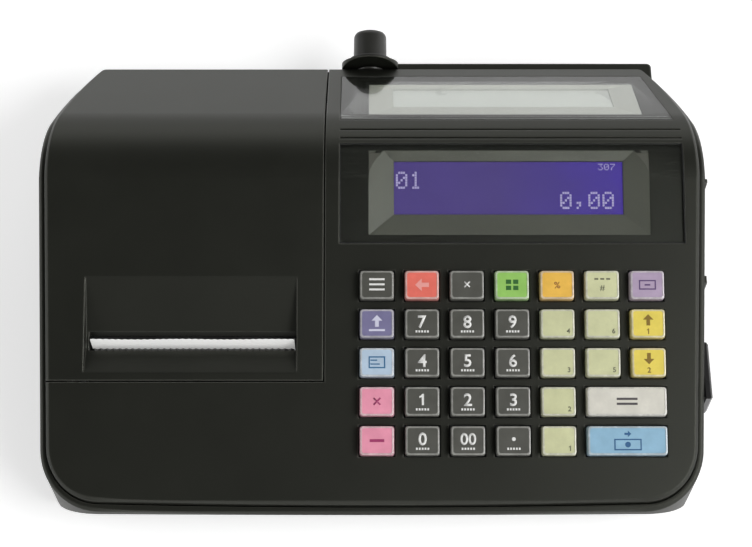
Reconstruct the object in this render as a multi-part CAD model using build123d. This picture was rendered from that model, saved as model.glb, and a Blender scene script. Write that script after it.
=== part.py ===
"""Countertop ticket register: an assembly of separate pieces.

Sizes are millimetres and degrees. X runs to the operator's right, Y to the rear and Z up
from the table. The pieces are drawn with Y = 0 at the front edge of the lid, and moved at
the end so that the origin lies under the middle of the whole register.
"""
import math
import os

from build123d import *

# ---------------------------------------------------------------- lid, seen from the side
front_height = 34.0        # front edge of the lid above the table
deck_slope = 18.0          # keyboard deck against the table
deck_length = 126.3        # flat part of the deck, along the slope
crown_radius = 36.0        # rounded crown between the deck and the rear slope
rear_slope = 37.5          # slope under the customer display
lid_depth = 195.0          # front edge to rear edge of the lid

# ---------------------------------------------------------------- lid, seen from above
side_flare = 4.0           # widest place beyond the front corners, on each side
side_tuck = 8.9            # rear corners inside the front corners, on each side
widest_depth = 122.0
corner_depth = 0.9         # the lid's front edge at its corners
front_bow = 1.7
corner_radius = 20.5
rear_corner_radius = 3.0

# ---------------------------------------------------------------- shells
wall = 2.2
edge_chamfer = 1.2
skirt_depth = 8.0          # how far the lid's skirt hangs below its surface
case_gap = 0.4             # between the lid's skirt and the lower case around it
rim_width = 2.3            # wall of the lower case at the sides and the front
rear_rim_width = 2.0
rim_drop = 3.2             # rim of the lower case below the lid's surface
rim_edge = 1.0
foot_height = 3.0
floor_thickness = 2.4
chin_height = 25.0         # undercut at the front of the lower case
chin_setback = 13.0
base_chamfer = 3.0
side_nubs = ((84.0, 3.2), (121.5, 1.6))
nub_reach = 1.0
nub_drop = 2.0
nub_tall = 8.0

# ---------------------------------------------------------------- printer cover
bay_left = 15.45           # paper to the lid's left side
bay_right = 11.85          # paper to the gap between the cover and the keyboard side
cover_front = 45.9         # front edge of the cover, along the deck
cover_gap = 0.6
cover_lip_depth = 5.0
cover_skirt_end = 134.0    # the cover's side skirt stops before the hinge
hinge_drop = 6.5           # hinge axis below the rear slope
hinge_pin_radius = 1.5
hinge_ear_radius = 3.4
hinge_ear_width = 2.4
ear_lean = 5.5             # foot of each ear ahead of the hinge axis
ear_foot_drop = 12.0
ear_foot_radius = 2.5
hinge_arm_width = 6.0
hinge_fit = 0.1
hinge_arm_places = (-100.0, -44.0)
cheek_gap = 0.5

# ---------------------------------------------------------------- paper and printer
paper_width = 79.5
paper_thickness = 0.3
paper_gap = 0.3
paper_line = 59.7          # upright paper, from the lid's front edge
paper_top = 53.2
scoop_rear = 87.4
scoop_front = 49.5
scoop_depth = 5.0
slot_side_gap = 0.95       # slot beside the paper
scoop_side = 1.3           # scoop beyond the slot on the left
slot_rear_gap = 4.7
tear_gap = 1.7             # paper to the tear bar
tear_thickness = 0.8
tear_height = 6.0
tear_pitch = 2.5
tear_tooth = 0.9
roll_radius = 25.0
roll_bore = 6.5
roll_depth = 138.0
roll_height = 38.0
cradle_slack = 4.0
roll_seat = 0.9            # the roll lies this far above the cradle
frame_wall = 2.0
frame_side_gap = 2.2       # paper edge to the side plate
frame_foot_places = (72.0, 148.0)
frame_foot_length = 12.0
frame_corner_radius = 3.0
bearing_rim = 2.0
platen_radius = 5.5
platen_clearance = 1.58    # below the cover's slot lips
platen_shaft_radius = 2.5
bearing_fit = 0.08
gear_module = 0.8
platen_teeth = 20
pinion_teeth = 12
gear_width = 4.0
gear_gap = 1.5             # side plate to the gears
gear_spread = 0.12         # added to each centre distance
backlash = 0.24
motor_depth = 38.0         # motor axis, from the lid's front edge
motor_drop = 8.8           # motor axis below the platen's
motor_radius = 10.0
motor_length = 14.0
motor_shaft_radius = 1.2
motor_ear = 4.0            # half width of the motor's mounting ears
motor_ear_thickness = 1.2
motor_ear_reach = 3.0
idler_pin_radius = 1.6
head_height = 8.0
head_thickness = 3.2
head_drop = 4.5            # foot of the print head below the platen's axis
head_plate = 0.8           # ceramic strip on the heat sink
head_gap = 0.1
head_margin = 0.8
head_connector_half = 12.0
head_connector_depth = 2.0
spring_thickness = 0.4
spring_width = 8.0
spring_spread = 26.0
spring_room = 7.0

# ---------------------------------------------------------------- keyboard
key_pitch_x = 17.5
key_pitch_t = 15.07
key_columns = 7
keys_left = 13.55          # cover's gap to the first column
keys_right = 11.55         # last column to the lid's right side
first_key_t = 23.1
cap_width = 13.5
cap_length = 11.6
cap_corner = 0.9
cap_height = 4.0
cap_taper = 6.0
cap_top = 1.6
cap_wall = 1.2
key_hole_gap = 0.4
key_flange = 0.8
flange_thickness = 1.2
flange_gap = 0.3
key_travel = 2.2
travel_reserve = 0.4
mat_thickness = 1.2
dome_radius = 2.8
dome_sides = 8
dome_taper = 10.0
board_thickness = 1.6
mat_margin = 1.8
board_rib = 1.6

# ---------------------------------------------------------------- displays
lens_thickness = 1.3
lens_fit = 0.15
lens_left_border = 5.6     # cover's gap to the lenses
lens_right_border = 2.2    # lenses to the lid's right side
operator_lens_front = 100.2
operator_lens_rear = 135.1
customer_lens_step = 2.1   # right end of the customer's lens inside the operator's
customer_lens_front = 148.3
customer_lens_rear = 187.0
window_left_border = 11.5
window_right_border = 13.7
operator_window_front = 103.8
operator_window_rear = 132.0
customer_window_front = 152.3
customer_window_rear = 180.3
module_depth = 4.8         # front of the operator's display module below the lid's surface
rear_module_depth = 2.6
module_thickness = 5.0
module_board = 1.6
module_overlap = 2.7       # module beyond the window at each end
module_length = 34.0
rear_module_length = 42.0
module_setback = 2.3       # module behind the front edge of the operator's window
rear_module_lead = 1.9     # module ahead of the customer's window
frame_inset = 3.0
view_border = 10.0         # window's edge to the lit view, at each end
view_length = 21.2
view_recess = 0.8
rear_view_shift = 3.9      # customer's view behind the middle of its module
bezel_slope_width = 2.5    # sloping walls round the operator's view, measured along the deck
bezel_gap = 0.1
groove_width = 1.0
groove_depth = 0.7
groove_depths = (137.8, 142.3)

# ---------------------------------------------------------------- rear knob and switch
knob_x = -0.8
knob_tilt = 15.0
knob_height = 32.0
knob_stand = 1.0           # front of the collar behind the lid's rear edge
collar_radius = 12.2
collar_length = 2.9
knob_radius = 7.1
knob_length = 12.0
knob_crown = 2.0           # bevelled end of the knob
knob_skirt_radius = 9.0
knob_skirt_length = 2.0
knob_gap = 0.3
knob_shaft_radius = 3.0
hub_radius = 6.0
hub_length = 0.9
switch_depth = 51.0
switch_height = 35.0
switch_width = 24.0
switch_tall = 15.0
bezel_thickness = 2.7
bezel_border = 2.4
switch_body_length = 12.0
switch_wall = 1.4
rocker_gap = 0.35
rocker_tilt = 7.0
rocker_proud = 1.0
rocker_back = 1.6
rocker_inset = 4.0
rocker_dish_radius = 23.0
rocker_dish = 1.0
bezel_edge = 0.8
bezel_stand = 0.1

# ---------------------------------------------------------------- boards, sockets, screws
main_board_left = -5.0
main_board_right = 112.0
main_board_front = 98.0
post_height = 4.0
post_half = 3.0
post_inset = 5.0
rear_post_depth = 176.0
rear_post_inset = 10.0
board_rear_gap = 2.0
# Soldered boxes as left, right, front, rear and height; cans as x, y, radius and height.
board_boxes = ((20.0, 44.0, 118.0, 142.0, 1.6), (56.0, 68.0, 112.0, 130.0, 1.4),
               (56.0, 68.0, 136.0, 150.0, 1.4), (80.0, 104.0, 108.0, 114.0, 6.0))
board_cans = ((96.0, 128.0, 9.0, 5.0), (6.0, 160.0, 4.0, 11.0), (16.0, 160.0, 4.0, 11.0))
# Sockets as name, centre along X, width and height.
sockets = (("power", 92.0, 9.0, 11.0), ("serial", 66.0, 16.0, 13.4),
           ("drawer", 38.0, 14.0, 13.4))
socket_length = 14.0
socket_rear_inset = 0.4
socket_wall = 1.6
socket_top_wall = 2.0
socket_depth = 10.0
keyway_half = 3.2
keyway_low = 1.4
keyway_tall = 2.0
inlet_radius = 3.2
inlet_pin_radius = 1.0
inlet_pin_inset = 1.0
socket_gap = 0.3
hood_left = 10.0
hood_right = 121.5
hood_reach = 4.8
hood_wrap = 8.0            # how far the ledge runs forward round the corner
hood_corner = 2.0
hood_thickness = 2.4
screw_radius = 1.4
screw_head_radius = 2.8
screw_head_height = 2.0
boss_radius = 3.8
screw_bite = 6.0           # screw in the upper case's boss
screw_pocket = 5.0
screw_reserve = 0.8
foot_radius = 7.0
vent_count = 7
vent_left = 20.0
vent_pitch = 8.0
vent_width = 3.0
vent_front = 60.0
vent_length = 26.0
screw_places = ((-113.0, 17.0), (120.0, 19.0), (117.0, 158.0), (-10.0, 152.0))
foot_places = ((-100.0, 32.0), (100.0, 32.0), (-96.0, 172.0), (96.0, 172.0))

# ---------------------------------------------------------------- worked-out values
slope = math.radians(deck_slope)
fall = math.radians(rear_slope)
keyboard_width = (key_columns - 1) * key_pitch_x + cap_width
bay_width = bay_left + paper_width + bay_right
front_half_width = (bay_width + keys_left + keyboard_width + keys_right) / 2
widest_half_width = front_half_width + side_flare
rear_half_width = front_half_width - side_tuck
paper_centre = bay_left + paper_width / 2 - front_half_width
cover_right = bay_width - front_half_width
first_key_x = cover_right + keys_left + cap_width / 2
lens_left = cover_right + lens_left_border
operator_lens_right = front_half_width - lens_right_border
customer_lens_right_front = operator_lens_right - customer_lens_step
customer_lens_right_rear = rear_half_width - lens_right_border
window_left = lens_left + window_left_border
window_right = operator_lens_right - window_right_border
view_width = window_right - window_left - 2 * view_border
far = 400.0                # reach of a cutting body beyond the register
overrun = 30.0             # side-view region beyond the lid at each end
floor_top = foot_height + floor_thickness
screw_seat = foot_height + screw_pocket
socket_low = floor_top + post_height + board_thickness
board_posts = ((main_board_left + post_inset, main_board_front + post_inset),
               (main_board_right - post_inset, main_board_front + post_inset),
               (main_board_left + post_inset, rear_post_depth),
               (main_board_right - rear_post_inset, rear_post_depth))


def deck_point(t, n):
    """Side-view point t up the deck and n above its surface."""
    return (t * math.cos(slope) - n * math.sin(slope),
            front_height + t * math.sin(slope) + n * math.cos(slope))


crown_y, crown_z = deck_point(deck_length, -crown_radius)


def crown_point(angle, radius):
    """Side-view point of the crown: angle is positive towards the deck."""
    return (crown_y - radius * math.sin(angle), crown_z + radius * math.cos(angle))


def crown_angle(y):
    """Angle of the crown's surface point at depth y."""
    return math.asin((crown_y - y) / crown_radius)


crown_end = crown_point(-fall, crown_radius)


def rear_point(u, n):
    """Side-view point u down the rear slope and n above its surface."""
    return (crown_end[0] + u * math.cos(fall) + n * math.sin(fall),
            crown_end[1] - u * math.sin(fall) + n * math.cos(fall))


rear_length = (lid_depth - crown_end[0]) / math.cos(fall)
rear_height = rear_point(rear_length, 0)[1]
hinge_y = lid_depth - hinge_drop / math.sin(fall)
hinge_z = rear_height
cheek_radius = lid_depth - hinge_y
knob_y = lid_depth + knob_stand
knob_lean = math.radians(knob_tilt)
knob_reach = collar_length + knob_gap + knob_skirt_length + knob_length
front_most = corner_depth - case_gap - rim_width - front_bow
rear_most = knob_y + knob_reach * math.cos(knob_lean) + knob_radius / 2 * math.sin(knob_lean)
middle = (front_most + rear_most) / 2
module_front = operator_window_front + module_setback
rear_module_front = (customer_window_front - crown_end[0]) / math.cos(fall) - rear_module_lead
view_left = window_left + view_border
view_right = window_right - view_border
view_front = module_front + (module_length - view_length) / 2
view_rear = view_front + view_length
hinge_u = rear_length - hinge_drop / math.tan(fall)
tear_y = paper_line - tear_gap
slot_front_t = (tear_y - scoop_depth * math.sin(slope)) / math.cos(slope)
slot_rear_y = paper_line + slot_rear_gap
slot_rear_t = (slot_rear_y - scoop_depth * math.sin(slope)) / math.cos(slope)
lip_low = -scoop_depth - 2 * wall
tear_top = deck_point(slot_front_t, -scoop_depth)[1] + tear_tooth / 2


# ---------------------------------------------------------------- shared shapes
def side_face(drop, front, rear, floor):
    """Region under the lid's surface moved in by drop, in side view."""
    start_z = front_height + front * math.tan(slope) - drop / math.cos(slope)
    deck_end = deck_point(deck_length, -drop)
    crown_top = crown_point((slope - fall) / 2, crown_radius - drop)
    crown_stop = crown_point(-fall, crown_radius - drop)
    end_z = crown_stop[1] - (rear - crown_stop[0]) * math.tan(fall)
    low = Polyline((rear, end_z), (rear, floor), (front, floor), (front, start_z))
    over = Line((front, start_z), deck_end) + ThreePointArc(deck_end, crown_top, crown_stop)
    return Plane.YZ * make_face(over + Line(crown_stop, (rear, end_z)) + low)


def slab(face, left, right):
    """Side-view face given its width from left to right."""
    return extrude(Pos(left, 0, 0) * face, amount=right - left, dir=(1, 0, 0))


def side_polygon(points):
    """Straight-edged region in side view."""
    return Plane.YZ * make_face(Polyline(*points, close=True))


def under(drop, front=-overrun, rear=lid_depth + overrun, floor=-far):
    """Everything under the lid's surface moved in by drop."""
    return slab(side_face(drop, front, rear, floor), -far, far)


def plan_face(grow, rear_grow, rear_side_grow):
    """Outline from above: grown at the front and sides, at the rear edge and at the rear sides."""
    front_x = front_half_width + grow
    front_y = corner_depth - grow
    wide_x = widest_half_width + grow
    rear_x = rear_half_width + rear_side_grow
    rear_y = lid_depth + rear_grow
    run = rear_y - widest_depth
    radius = ((wide_x - rear_x) ** 2 + run ** 2) / (2 * (wide_x - rear_x))
    half = math.asin(run / radius) / 2
    bend = (wide_x - radius * (1 - math.cos(half)), widest_depth + radius * math.sin(half))
    right = Line((front_x, front_y), (wide_x, widest_depth))
    right += ThreePointArc((wide_x, widest_depth), bend, (rear_x, rear_y))
    left = Line((-front_x, front_y), (-wide_x, widest_depth))
    left += ThreePointArc((-wide_x, widest_depth), (-bend[0], bend[1]), (-rear_x, rear_y))
    bow = ThreePointArc((-front_x, front_y), (0, front_y - front_bow), (front_x, front_y))
    face = make_face(bow + right + Line((rear_x, rear_y), (-rear_x, rear_y)) + left)
    face = fillet(face.vertices().sort_by(Axis.Y)[:2], corner_radius + grow)
    return fillet(face.vertices().sort_by(Axis.Y)[-2:], rear_corner_radius + rear_grow)


def column(face, low, high):
    """Plan face raised from low to high."""
    return extrude(Pos(0, 0, low) * face, amount=high - low, dir=(0, 0, 1))


def block(x0, x1, y0, y1, z0, z1):
    """Box between two corners."""
    return Pos((x0 + x1) / 2, (y0 + y1) / 2, (z0 + z1) / 2) * Box(x1 - x0, y1 - y0, z1 - z0)


def on_deck(x, t, n):
    """Place on the deck, turned with it."""
    y, z = deck_point(t, n)
    return Location((x, y, z), (deck_slope, 0, 0))


def on_rear(x, u, n):
    """Place on the rear slope, turned with it."""
    y, z = rear_point(u, n)
    return Location((x, y, z), (-rear_slope, 0, 0))


def deck_block(x0, x1, t0, t1, n0, n1):
    """Box that lies along the deck."""
    place = on_deck((x0 + x1) / 2, (t0 + t1) / 2, (n0 + n1) / 2)
    return place * Box(x1 - x0, t1 - t0, n1 - n0)


def rear_block(x0, x1, u0, u1, n0, n1):
    """Box that lies along the rear slope."""
    place = on_rear((x0 + x1) / 2, (u0 + u1) / 2, (n0 + n1) / 2)
    return place * Box(x1 - x0, u1 - u0, n1 - n0)


def rod(x0, x1, y, z, radius):
    """Round bar along X."""
    return Pos((x0 + x1) / 2, y, z) * Rot(0, 90, 0) * Cylinder(radius, x1 - x0)


# ---------------------------------------------------------------- key layout
# Rows run from the front to the rear; a wide key takes the last two columns.
key_rows = (
    ("key_void", "key_0", "key_00", "key_point", "key_group_1", "key_cash"),
    ("key_cancel", "key_1", "key_2", "key_3", "key_group_2", "key_subtotal"),
    ("key_client", "key_4", "key_5", "key_6", "key_group_3", "key_group_5", "key_payment_2"),
    ("key_paper_feed", "key_7", "key_8", "key_9", "key_group_4", "key_group_6", "key_payment_1"),
    ("key_menu", "key_clear", "key_multiply", "key_item", "key_percent", "key_shift",
     "key_drawer"),
)
last_key_x = first_key_x + (key_columns - 1) * key_pitch_x
last_key_t = first_key_t + (len(key_rows) - 1) * key_pitch_t


def key_places():
    """Name, centre along X and T, and width of each cap."""
    places = []
    for row, names in enumerate(key_rows):
        for column_number, name in enumerate(names):
            x = first_key_x + column_number * key_pitch_x
            width = cap_width
            if len(names) < key_columns and column_number == len(names) - 1:
                x += key_pitch_x / 2
                width += key_pitch_x
            places.append((name, x, first_key_t + row * key_pitch_t, width))
    return places


flange_top = -(wall + flange_gap)
flange_low = flange_top - flange_thickness
mat_top = flange_low - key_travel - travel_reserve
board_top = mat_top - mat_thickness
dome_top = cap_height - cap_top - key_travel - 2 * travel_reserve
mat_left = first_key_x - cap_width / 2 - mat_margin
mat_right = last_key_x + cap_width / 2 + mat_margin
mat_front = first_key_t - cap_length / 2 - mat_margin
mat_rear = last_key_t + cap_length / 2 + mat_margin


def key_cap(x, t, width):
    """Hollow cap with a flange that keeps it under the deck."""
    foot = Rectangle(width, cap_length)
    foot = chamfer(foot.vertices(), cap_corner)
    low = extrude(on_deck(x, t, flange_low) * foot, amount=-flange_low)
    top = extrude(on_deck(x, t, 0) * foot, amount=cap_height, taper=cap_taper)
    flange = deck_block(x - width / 2 - key_flange, x + width / 2 + key_flange,
                        t - cap_length / 2 - key_flange, t + cap_length / 2 + key_flange,
                        flange_low, flange_top)
    hollow = deck_block(x - width / 2 + cap_wall, x + width / 2 - cap_wall,
                        t - cap_length / 2 + cap_wall, t + cap_length / 2 - cap_wall,
                        flange_low, cap_height - cap_top)
    return low + top + flange - hollow


def key_mat():
    """Rubber sheet with one dome under each key, and two under a wide one."""
    mat = deck_block(mat_left, mat_right, mat_front, mat_rear, board_top, mat_top)
    tall = dome_top - mat_top
    for name, x, t, width in key_places():
        spread = (width - cap_width) / 2
        for dome_x in sorted({x - spread, x + spread}):
            foot = on_deck(dome_x, t, mat_top) * RegularPolygon(dome_radius, dome_sides)
            mat += extrude(foot, amount=tall, taper=dome_taper)
    return mat


def keyboard_board():
    """Circuit board behind the mat, held by two ribs of the upper case."""
    reach = 2 * board_rib
    return deck_block(mat_left, mat_right, mat_front - reach, mat_rear + reach,
                      board_top - board_thickness, board_top)


# ---------------------------------------------------------------- lid and its two parts
def lid_shell():
    """Whole lid: skin and skirt, before it is parted into upper case and printer cover."""
    outer = column(plan_face(0, 0, 0), 0, far / 2) & under(0)
    seams = (deck_point(deck_length, 0)[0], crown_end[0])

    def on_top_edge(edge):
        middle_point = edge.center()
        upright = abs(edge.tangent_at(0.5).Z) > 0.99
        seam = abs(middle_point.X) < 1 and min(abs(middle_point.Y - y) for y in seams) < 0.5
        return middle_point.Z > 1 and not upright and not seam

    outer = chamfer(outer.edges().filter_by(on_top_edge), edge_chamfer)
    hollow = column(plan_face(-wall, -wall, -wall), -1, far / 2) & under(wall)
    return outer - hollow - under(skirt_depth) - chin(rim_width + case_gap)


def cover_region(gap):
    """Part of the lid that the printer cover takes, made larger by gap."""
    return deck_block(-far, cover_right + gap, cover_front - gap, far, -far, far)


def groove(y):
    """Cutter of a groove across the crown."""
    angle = crown_angle(y)
    at_y, at_z = crown_point(angle, crown_radius)
    place = Location(((lens_left + operator_lens_right) / 2, at_y, at_z),
                     (math.degrees(angle), 0, 0))
    return place * Box(operator_lens_right - lens_left, groove_width, 2 * groove_depth)


def lens_region(front_point, front_tilt, rear_point_, rear_tilt, outline):
    """Wedge of the lid's surface between two cuts square to it, inside a plan outline."""
    def ray(point, tilt, out):
        return (point[0] - out * math.sin(tilt), point[1] + out * math.cos(tilt))

    reach = crown_radius / 3
    wedge = side_polygon((ray(front_point, front_tilt, reach), ray(rear_point_, rear_tilt, reach),
                          ray(rear_point_, rear_tilt, -reach), ray(front_point, front_tilt, -reach)))
    return slab(wedge, -far, far) & column(outline, 0, far / 2)


def operator_lens_region(shrink):
    """Where the operator's lens lies, made smaller all round by shrink."""
    angle = crown_angle(operator_lens_rear) + shrink / crown_radius
    width = operator_lens_right - lens_left - 2 * shrink
    outline = Pos((operator_lens_right + lens_left) / 2, lid_depth / 2) * Rectangle(width, lid_depth)
    return lens_region(deck_point(operator_lens_front + shrink, 0), slope,
                       crown_point(angle, crown_radius), angle, outline)


def customer_lens_region(shrink):
    """Where the customer's lens lies, made smaller all round by shrink."""
    angle = crown_angle(customer_lens_front) - shrink / crown_radius
    left = lens_left + shrink
    lean = (customer_lens_right_front - customer_lens_right_rear) / (customer_lens_rear
                                                                     - customer_lens_front)
    edge_front = customer_lens_right_front - shrink + lean * customer_lens_front
    outline = make_face(Polyline((left, 0), (edge_front, 0),
                                 (edge_front - lean * 2 * lid_depth, 2 * lid_depth),
                                 (left, 2 * lid_depth), close=True))
    rear_u = (customer_lens_rear - crown_end[0]) / math.cos(fall) - shrink
    return lens_region(crown_point(angle, crown_radius), angle,
                       rear_point(rear_u, 0), -fall, outline)


def skin(drop, region):
    """Layer of the lid's surface, drop thick, inside a region."""
    return (under(0) - under(drop)) & region


def screw_boss(x, y):
    """Boss of the upper case that a case screw bites into."""
    joint_z = screw_joint(y)
    boss = column(Pos(x, y) * boss_outline(), joint_z, far) & under(wall / 2)
    return boss, Pos(x, y, joint_z + screw_bite / 2) * Cylinder(screw_radius, screw_bite)


def boss_outline():
    """Six-sided screw boss."""
    return RegularPolygon(boss_radius, 6)


def screw_joint(y):
    """Height at which the bosses of the two cases meet."""
    return surface_height(y) - skirt_depth - screw_bite


def surface_height(y):
    """Height of the lid's surface at depth y."""
    if y < deck_point(deck_length, 0)[0]:
        return front_height + y * math.tan(slope)
    if y < crown_end[0]:
        return crown_z + math.sqrt(crown_radius ** 2 - (y - crown_y) ** 2)
    return crown_end[1] - (y - crown_end[0]) * math.tan(fall)


def upper_case():
    """Keyboard and display side of the lid, with the strip in front of the printer."""
    case = lid_shell() - cover_region(0)
    bay_edge = cover_right
    rail = slab(side_face(wall / 2, deck_point(cover_front, 0)[0], lid_depth - wall,
                          floor_top + case_gap), bay_edge, bay_edge + wall)
    case += rail - under(3 * skirt_depth)
    lip = deck_block(-front_half_width + 2 * wall, bay_edge + wall,
                     cover_front - wall, cover_front, -cover_lip_depth, -wall / 2)
    case += lip
    for t0 in (mat_front - 2 * board_rib, mat_rear + board_rib):
        case += deck_block(mat_left, mat_right, t0, t0 + board_rib, board_top, -wall / 2)
    seat_low = module_board - module_depth - module_thickness
    rear_seat_low = module_board - rear_module_depth - module_thickness
    for x0 in (window_left - module_overlap, window_right + module_overlap - board_rib):
        seat = deck_block(x0, x0 + board_rib, module_front, module_front + module_length,
                          seat_low, skirt_depth)
        case += seat & under(wall / 2)
        case += rear_block(x0, x0 + board_rib, rear_module_front,
                           rear_module_front + rear_module_length, rear_seat_low, -wall / 2)
    bores = []
    for x, y in screw_places:
        boss, bore = screw_boss(x, y)
        case += boss
        bores.append(bore)
    case -= bores
    case -= skin(lens_thickness, operator_lens_region(0))
    case -= skin(lens_thickness, customer_lens_region(0))
    width = window_right - window_left
    for front, rear in ((deck_point(operator_window_front, 0)[0], operator_window_rear),
                        (customer_window_front, customer_window_rear)):
        pane = block(window_left, window_left + width, front, rear, 0, far / 2)
        case -= pane & (under(0) - under(2 * wall))
    case += display_bezel()
    for y in groove_depths:
        case -= groove(y)
    case -= switch_hole(case_gap)
    case -= knob_place(-hub_length / 2) * Cylinder(hub_radius + case_gap,
                                                   hub_length + 2 * case_gap)
    for name, x, t, width in key_places():
        half_width = width / 2 + key_hole_gap
        half_length = cap_length / 2 + key_hole_gap
        case -= deck_block(x - half_width, x + half_width, t - half_length, t + half_length,
                           -2 * wall, 2 * wall)
    return case


def deck_coordinates(y, drop):
    """Place along the deck and above it of the point drop below the crown's surface at depth y."""
    angle = crown_angle(y)
    point_y, point_z = crown_point(angle, crown_radius - drop)
    rise = point_z - front_height
    return (point_y * math.cos(slope) + rise * math.sin(slope),
            rise * math.cos(slope) - point_y * math.sin(slope))


def display_bezel():
    """Four walls that slope from the edges of the operator's window to its view."""
    top = -lens_thickness
    low = bezel_gap - module_depth
    rear_edge = deck_coordinates(operator_window_rear, lens_thickness)
    front = [(operator_window_front, top), (view_front, low),
             (view_front - bezel_slope_width, low),
             (operator_window_front - bezel_slope_width, top)]
    rear = [rear_edge, (view_rear, low), (view_rear + bezel_slope_width, low),
            (rear_edge[0] + bezel_slope_width, rear_edge[1])]
    walls = []
    for corners in (front, rear):
        face = side_polygon([deck_point(t, n) for t, n in corners])
        walls.append(slab(face, window_left - bezel_slope_width,
                          window_right + bezel_slope_width))
    start = operator_window_front - bezel_slope_width
    for edge, inner, out in ((window_left, view_left, -bezel_slope_width),
                             (window_right, view_right, bezel_slope_width)):
        section = Plane.XZ * make_face(Polyline((edge, top), (inner, low), (inner + out, low),
                                                (edge + out, top), close=True))
        side = extrude(section, amount=rear_edge[0] - start, dir=(0, 1, 0))
        walls.append(on_deck(0, start, 0) * side)
    room = under(lens_thickness)
    return [one & room for one in walls]


def printer_cover():
    """Hinged cover over the paper, with the scoop and the slot that the paper leaves by."""
    cover = lid_shell() & cover_region(-cover_gap)
    cover -= block(-far, far, lid_depth - cover_gap, far, -far, far)
    deep_rear = block(-far, far, cover_skirt_end, far, -far, far)
    cover -= deep_rear & under(wall)
    slot_left = paper_centre - paper_width / 2 - slot_side_gap
    right = paper_centre + paper_width / 2 + slot_side_gap
    left = slot_left - scoop_side
    shell = [deck_point(t, n) for t, n in (
        (scoop_rear + 2 * wall, -wall / 2), (slot_rear_t + wall, -scoop_depth - 0.8 * wall),
        (slot_rear_t + wall, lip_low), (slot_front_t - 2 * wall, lip_low),
        (slot_front_t - 2 * wall, -scoop_depth), (scoop_front - wall, -wall / 2))]
    cover += slab(side_polygon(shell), left - wall, right + wall)
    dish = [deck_point(t, n) for t, n in (
        (scoop_rear, 0), (slot_rear_t, -scoop_depth), (slot_front_t, -scoop_depth),
        (scoop_front, 0), (scoop_front, wall), (scoop_rear, wall))]
    cover -= slab(side_polygon(dish), left, right)
    cover -= block(slot_left, right, tear_y - tear_thickness, slot_rear_y, 0,
                   surface_height(slot_rear_y))
    for x in (cover_right - 3 * wall, left - 2 * wall):
        rib = slab(side_face(wall / 2, deck_point(scoop_rear, 0)[0], hinge_y, 0), x - wall / 4,
                   x + wall / 4)
        cover += rib - under(2 * wall)
    cheek = rod(-far / 2, -rear_half_width + wall, hinge_y, hinge_z, cheek_radius)
    cheek = cheek & column(plan_face(0, -cover_gap, 0), 0, far / 2) & under(wall / 2)
    cover += cheek
    for x in hinge_arm_places:
        arm = rod(x, x + hinge_arm_width, hinge_y, hinge_z, hinge_ear_radius)
        web = rear_block(x, x + hinge_arm_width, hinge_u - hinge_ear_radius,
                         hinge_u + hinge_ear_radius, -hinge_drop, -wall / 2)
        stub = rod(x - hinge_ear_width - 2 * cheek_gap, x, hinge_y, hinge_z, hinge_pin_radius)
        cover += arm + web + stub
    return cover


def tear_bar():
    """Serrated steel strip along the front of the paper slot."""
    half = paper_width / 2
    count = round(paper_width / tear_pitch)
    step = paper_width / count
    points = [(-half, tear_top - tear_height), (-half, tear_top - tear_tooth)]
    for tooth in range(count):
        points.append((-half + (tooth + 0.5) * step, tear_top))
        points.append((-half + (tooth + 1) * step, tear_top - tear_tooth))
    points.append((half, tear_top - tear_height))
    strip = Plane.XZ * make_face(Polyline(*points, close=True))
    return Pos(paper_centre, tear_y, 0) * extrude(strip, amount=tear_thickness, dir=(0, -1, 0))


# ---------------------------------------------------------------- lower case
def chin(setback):
    """Cutter that slants the front of the lower case inwards."""
    top = foot_height + chin_height
    front = front_most
    lean = chin_setback / chin_height
    return slab(side_polygon(((front - far, top), (front + setback, top),
                              (front + setback + lean * (top + overrun), -overrun),
                              (front - far, -overrun))), -far, far)


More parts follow.
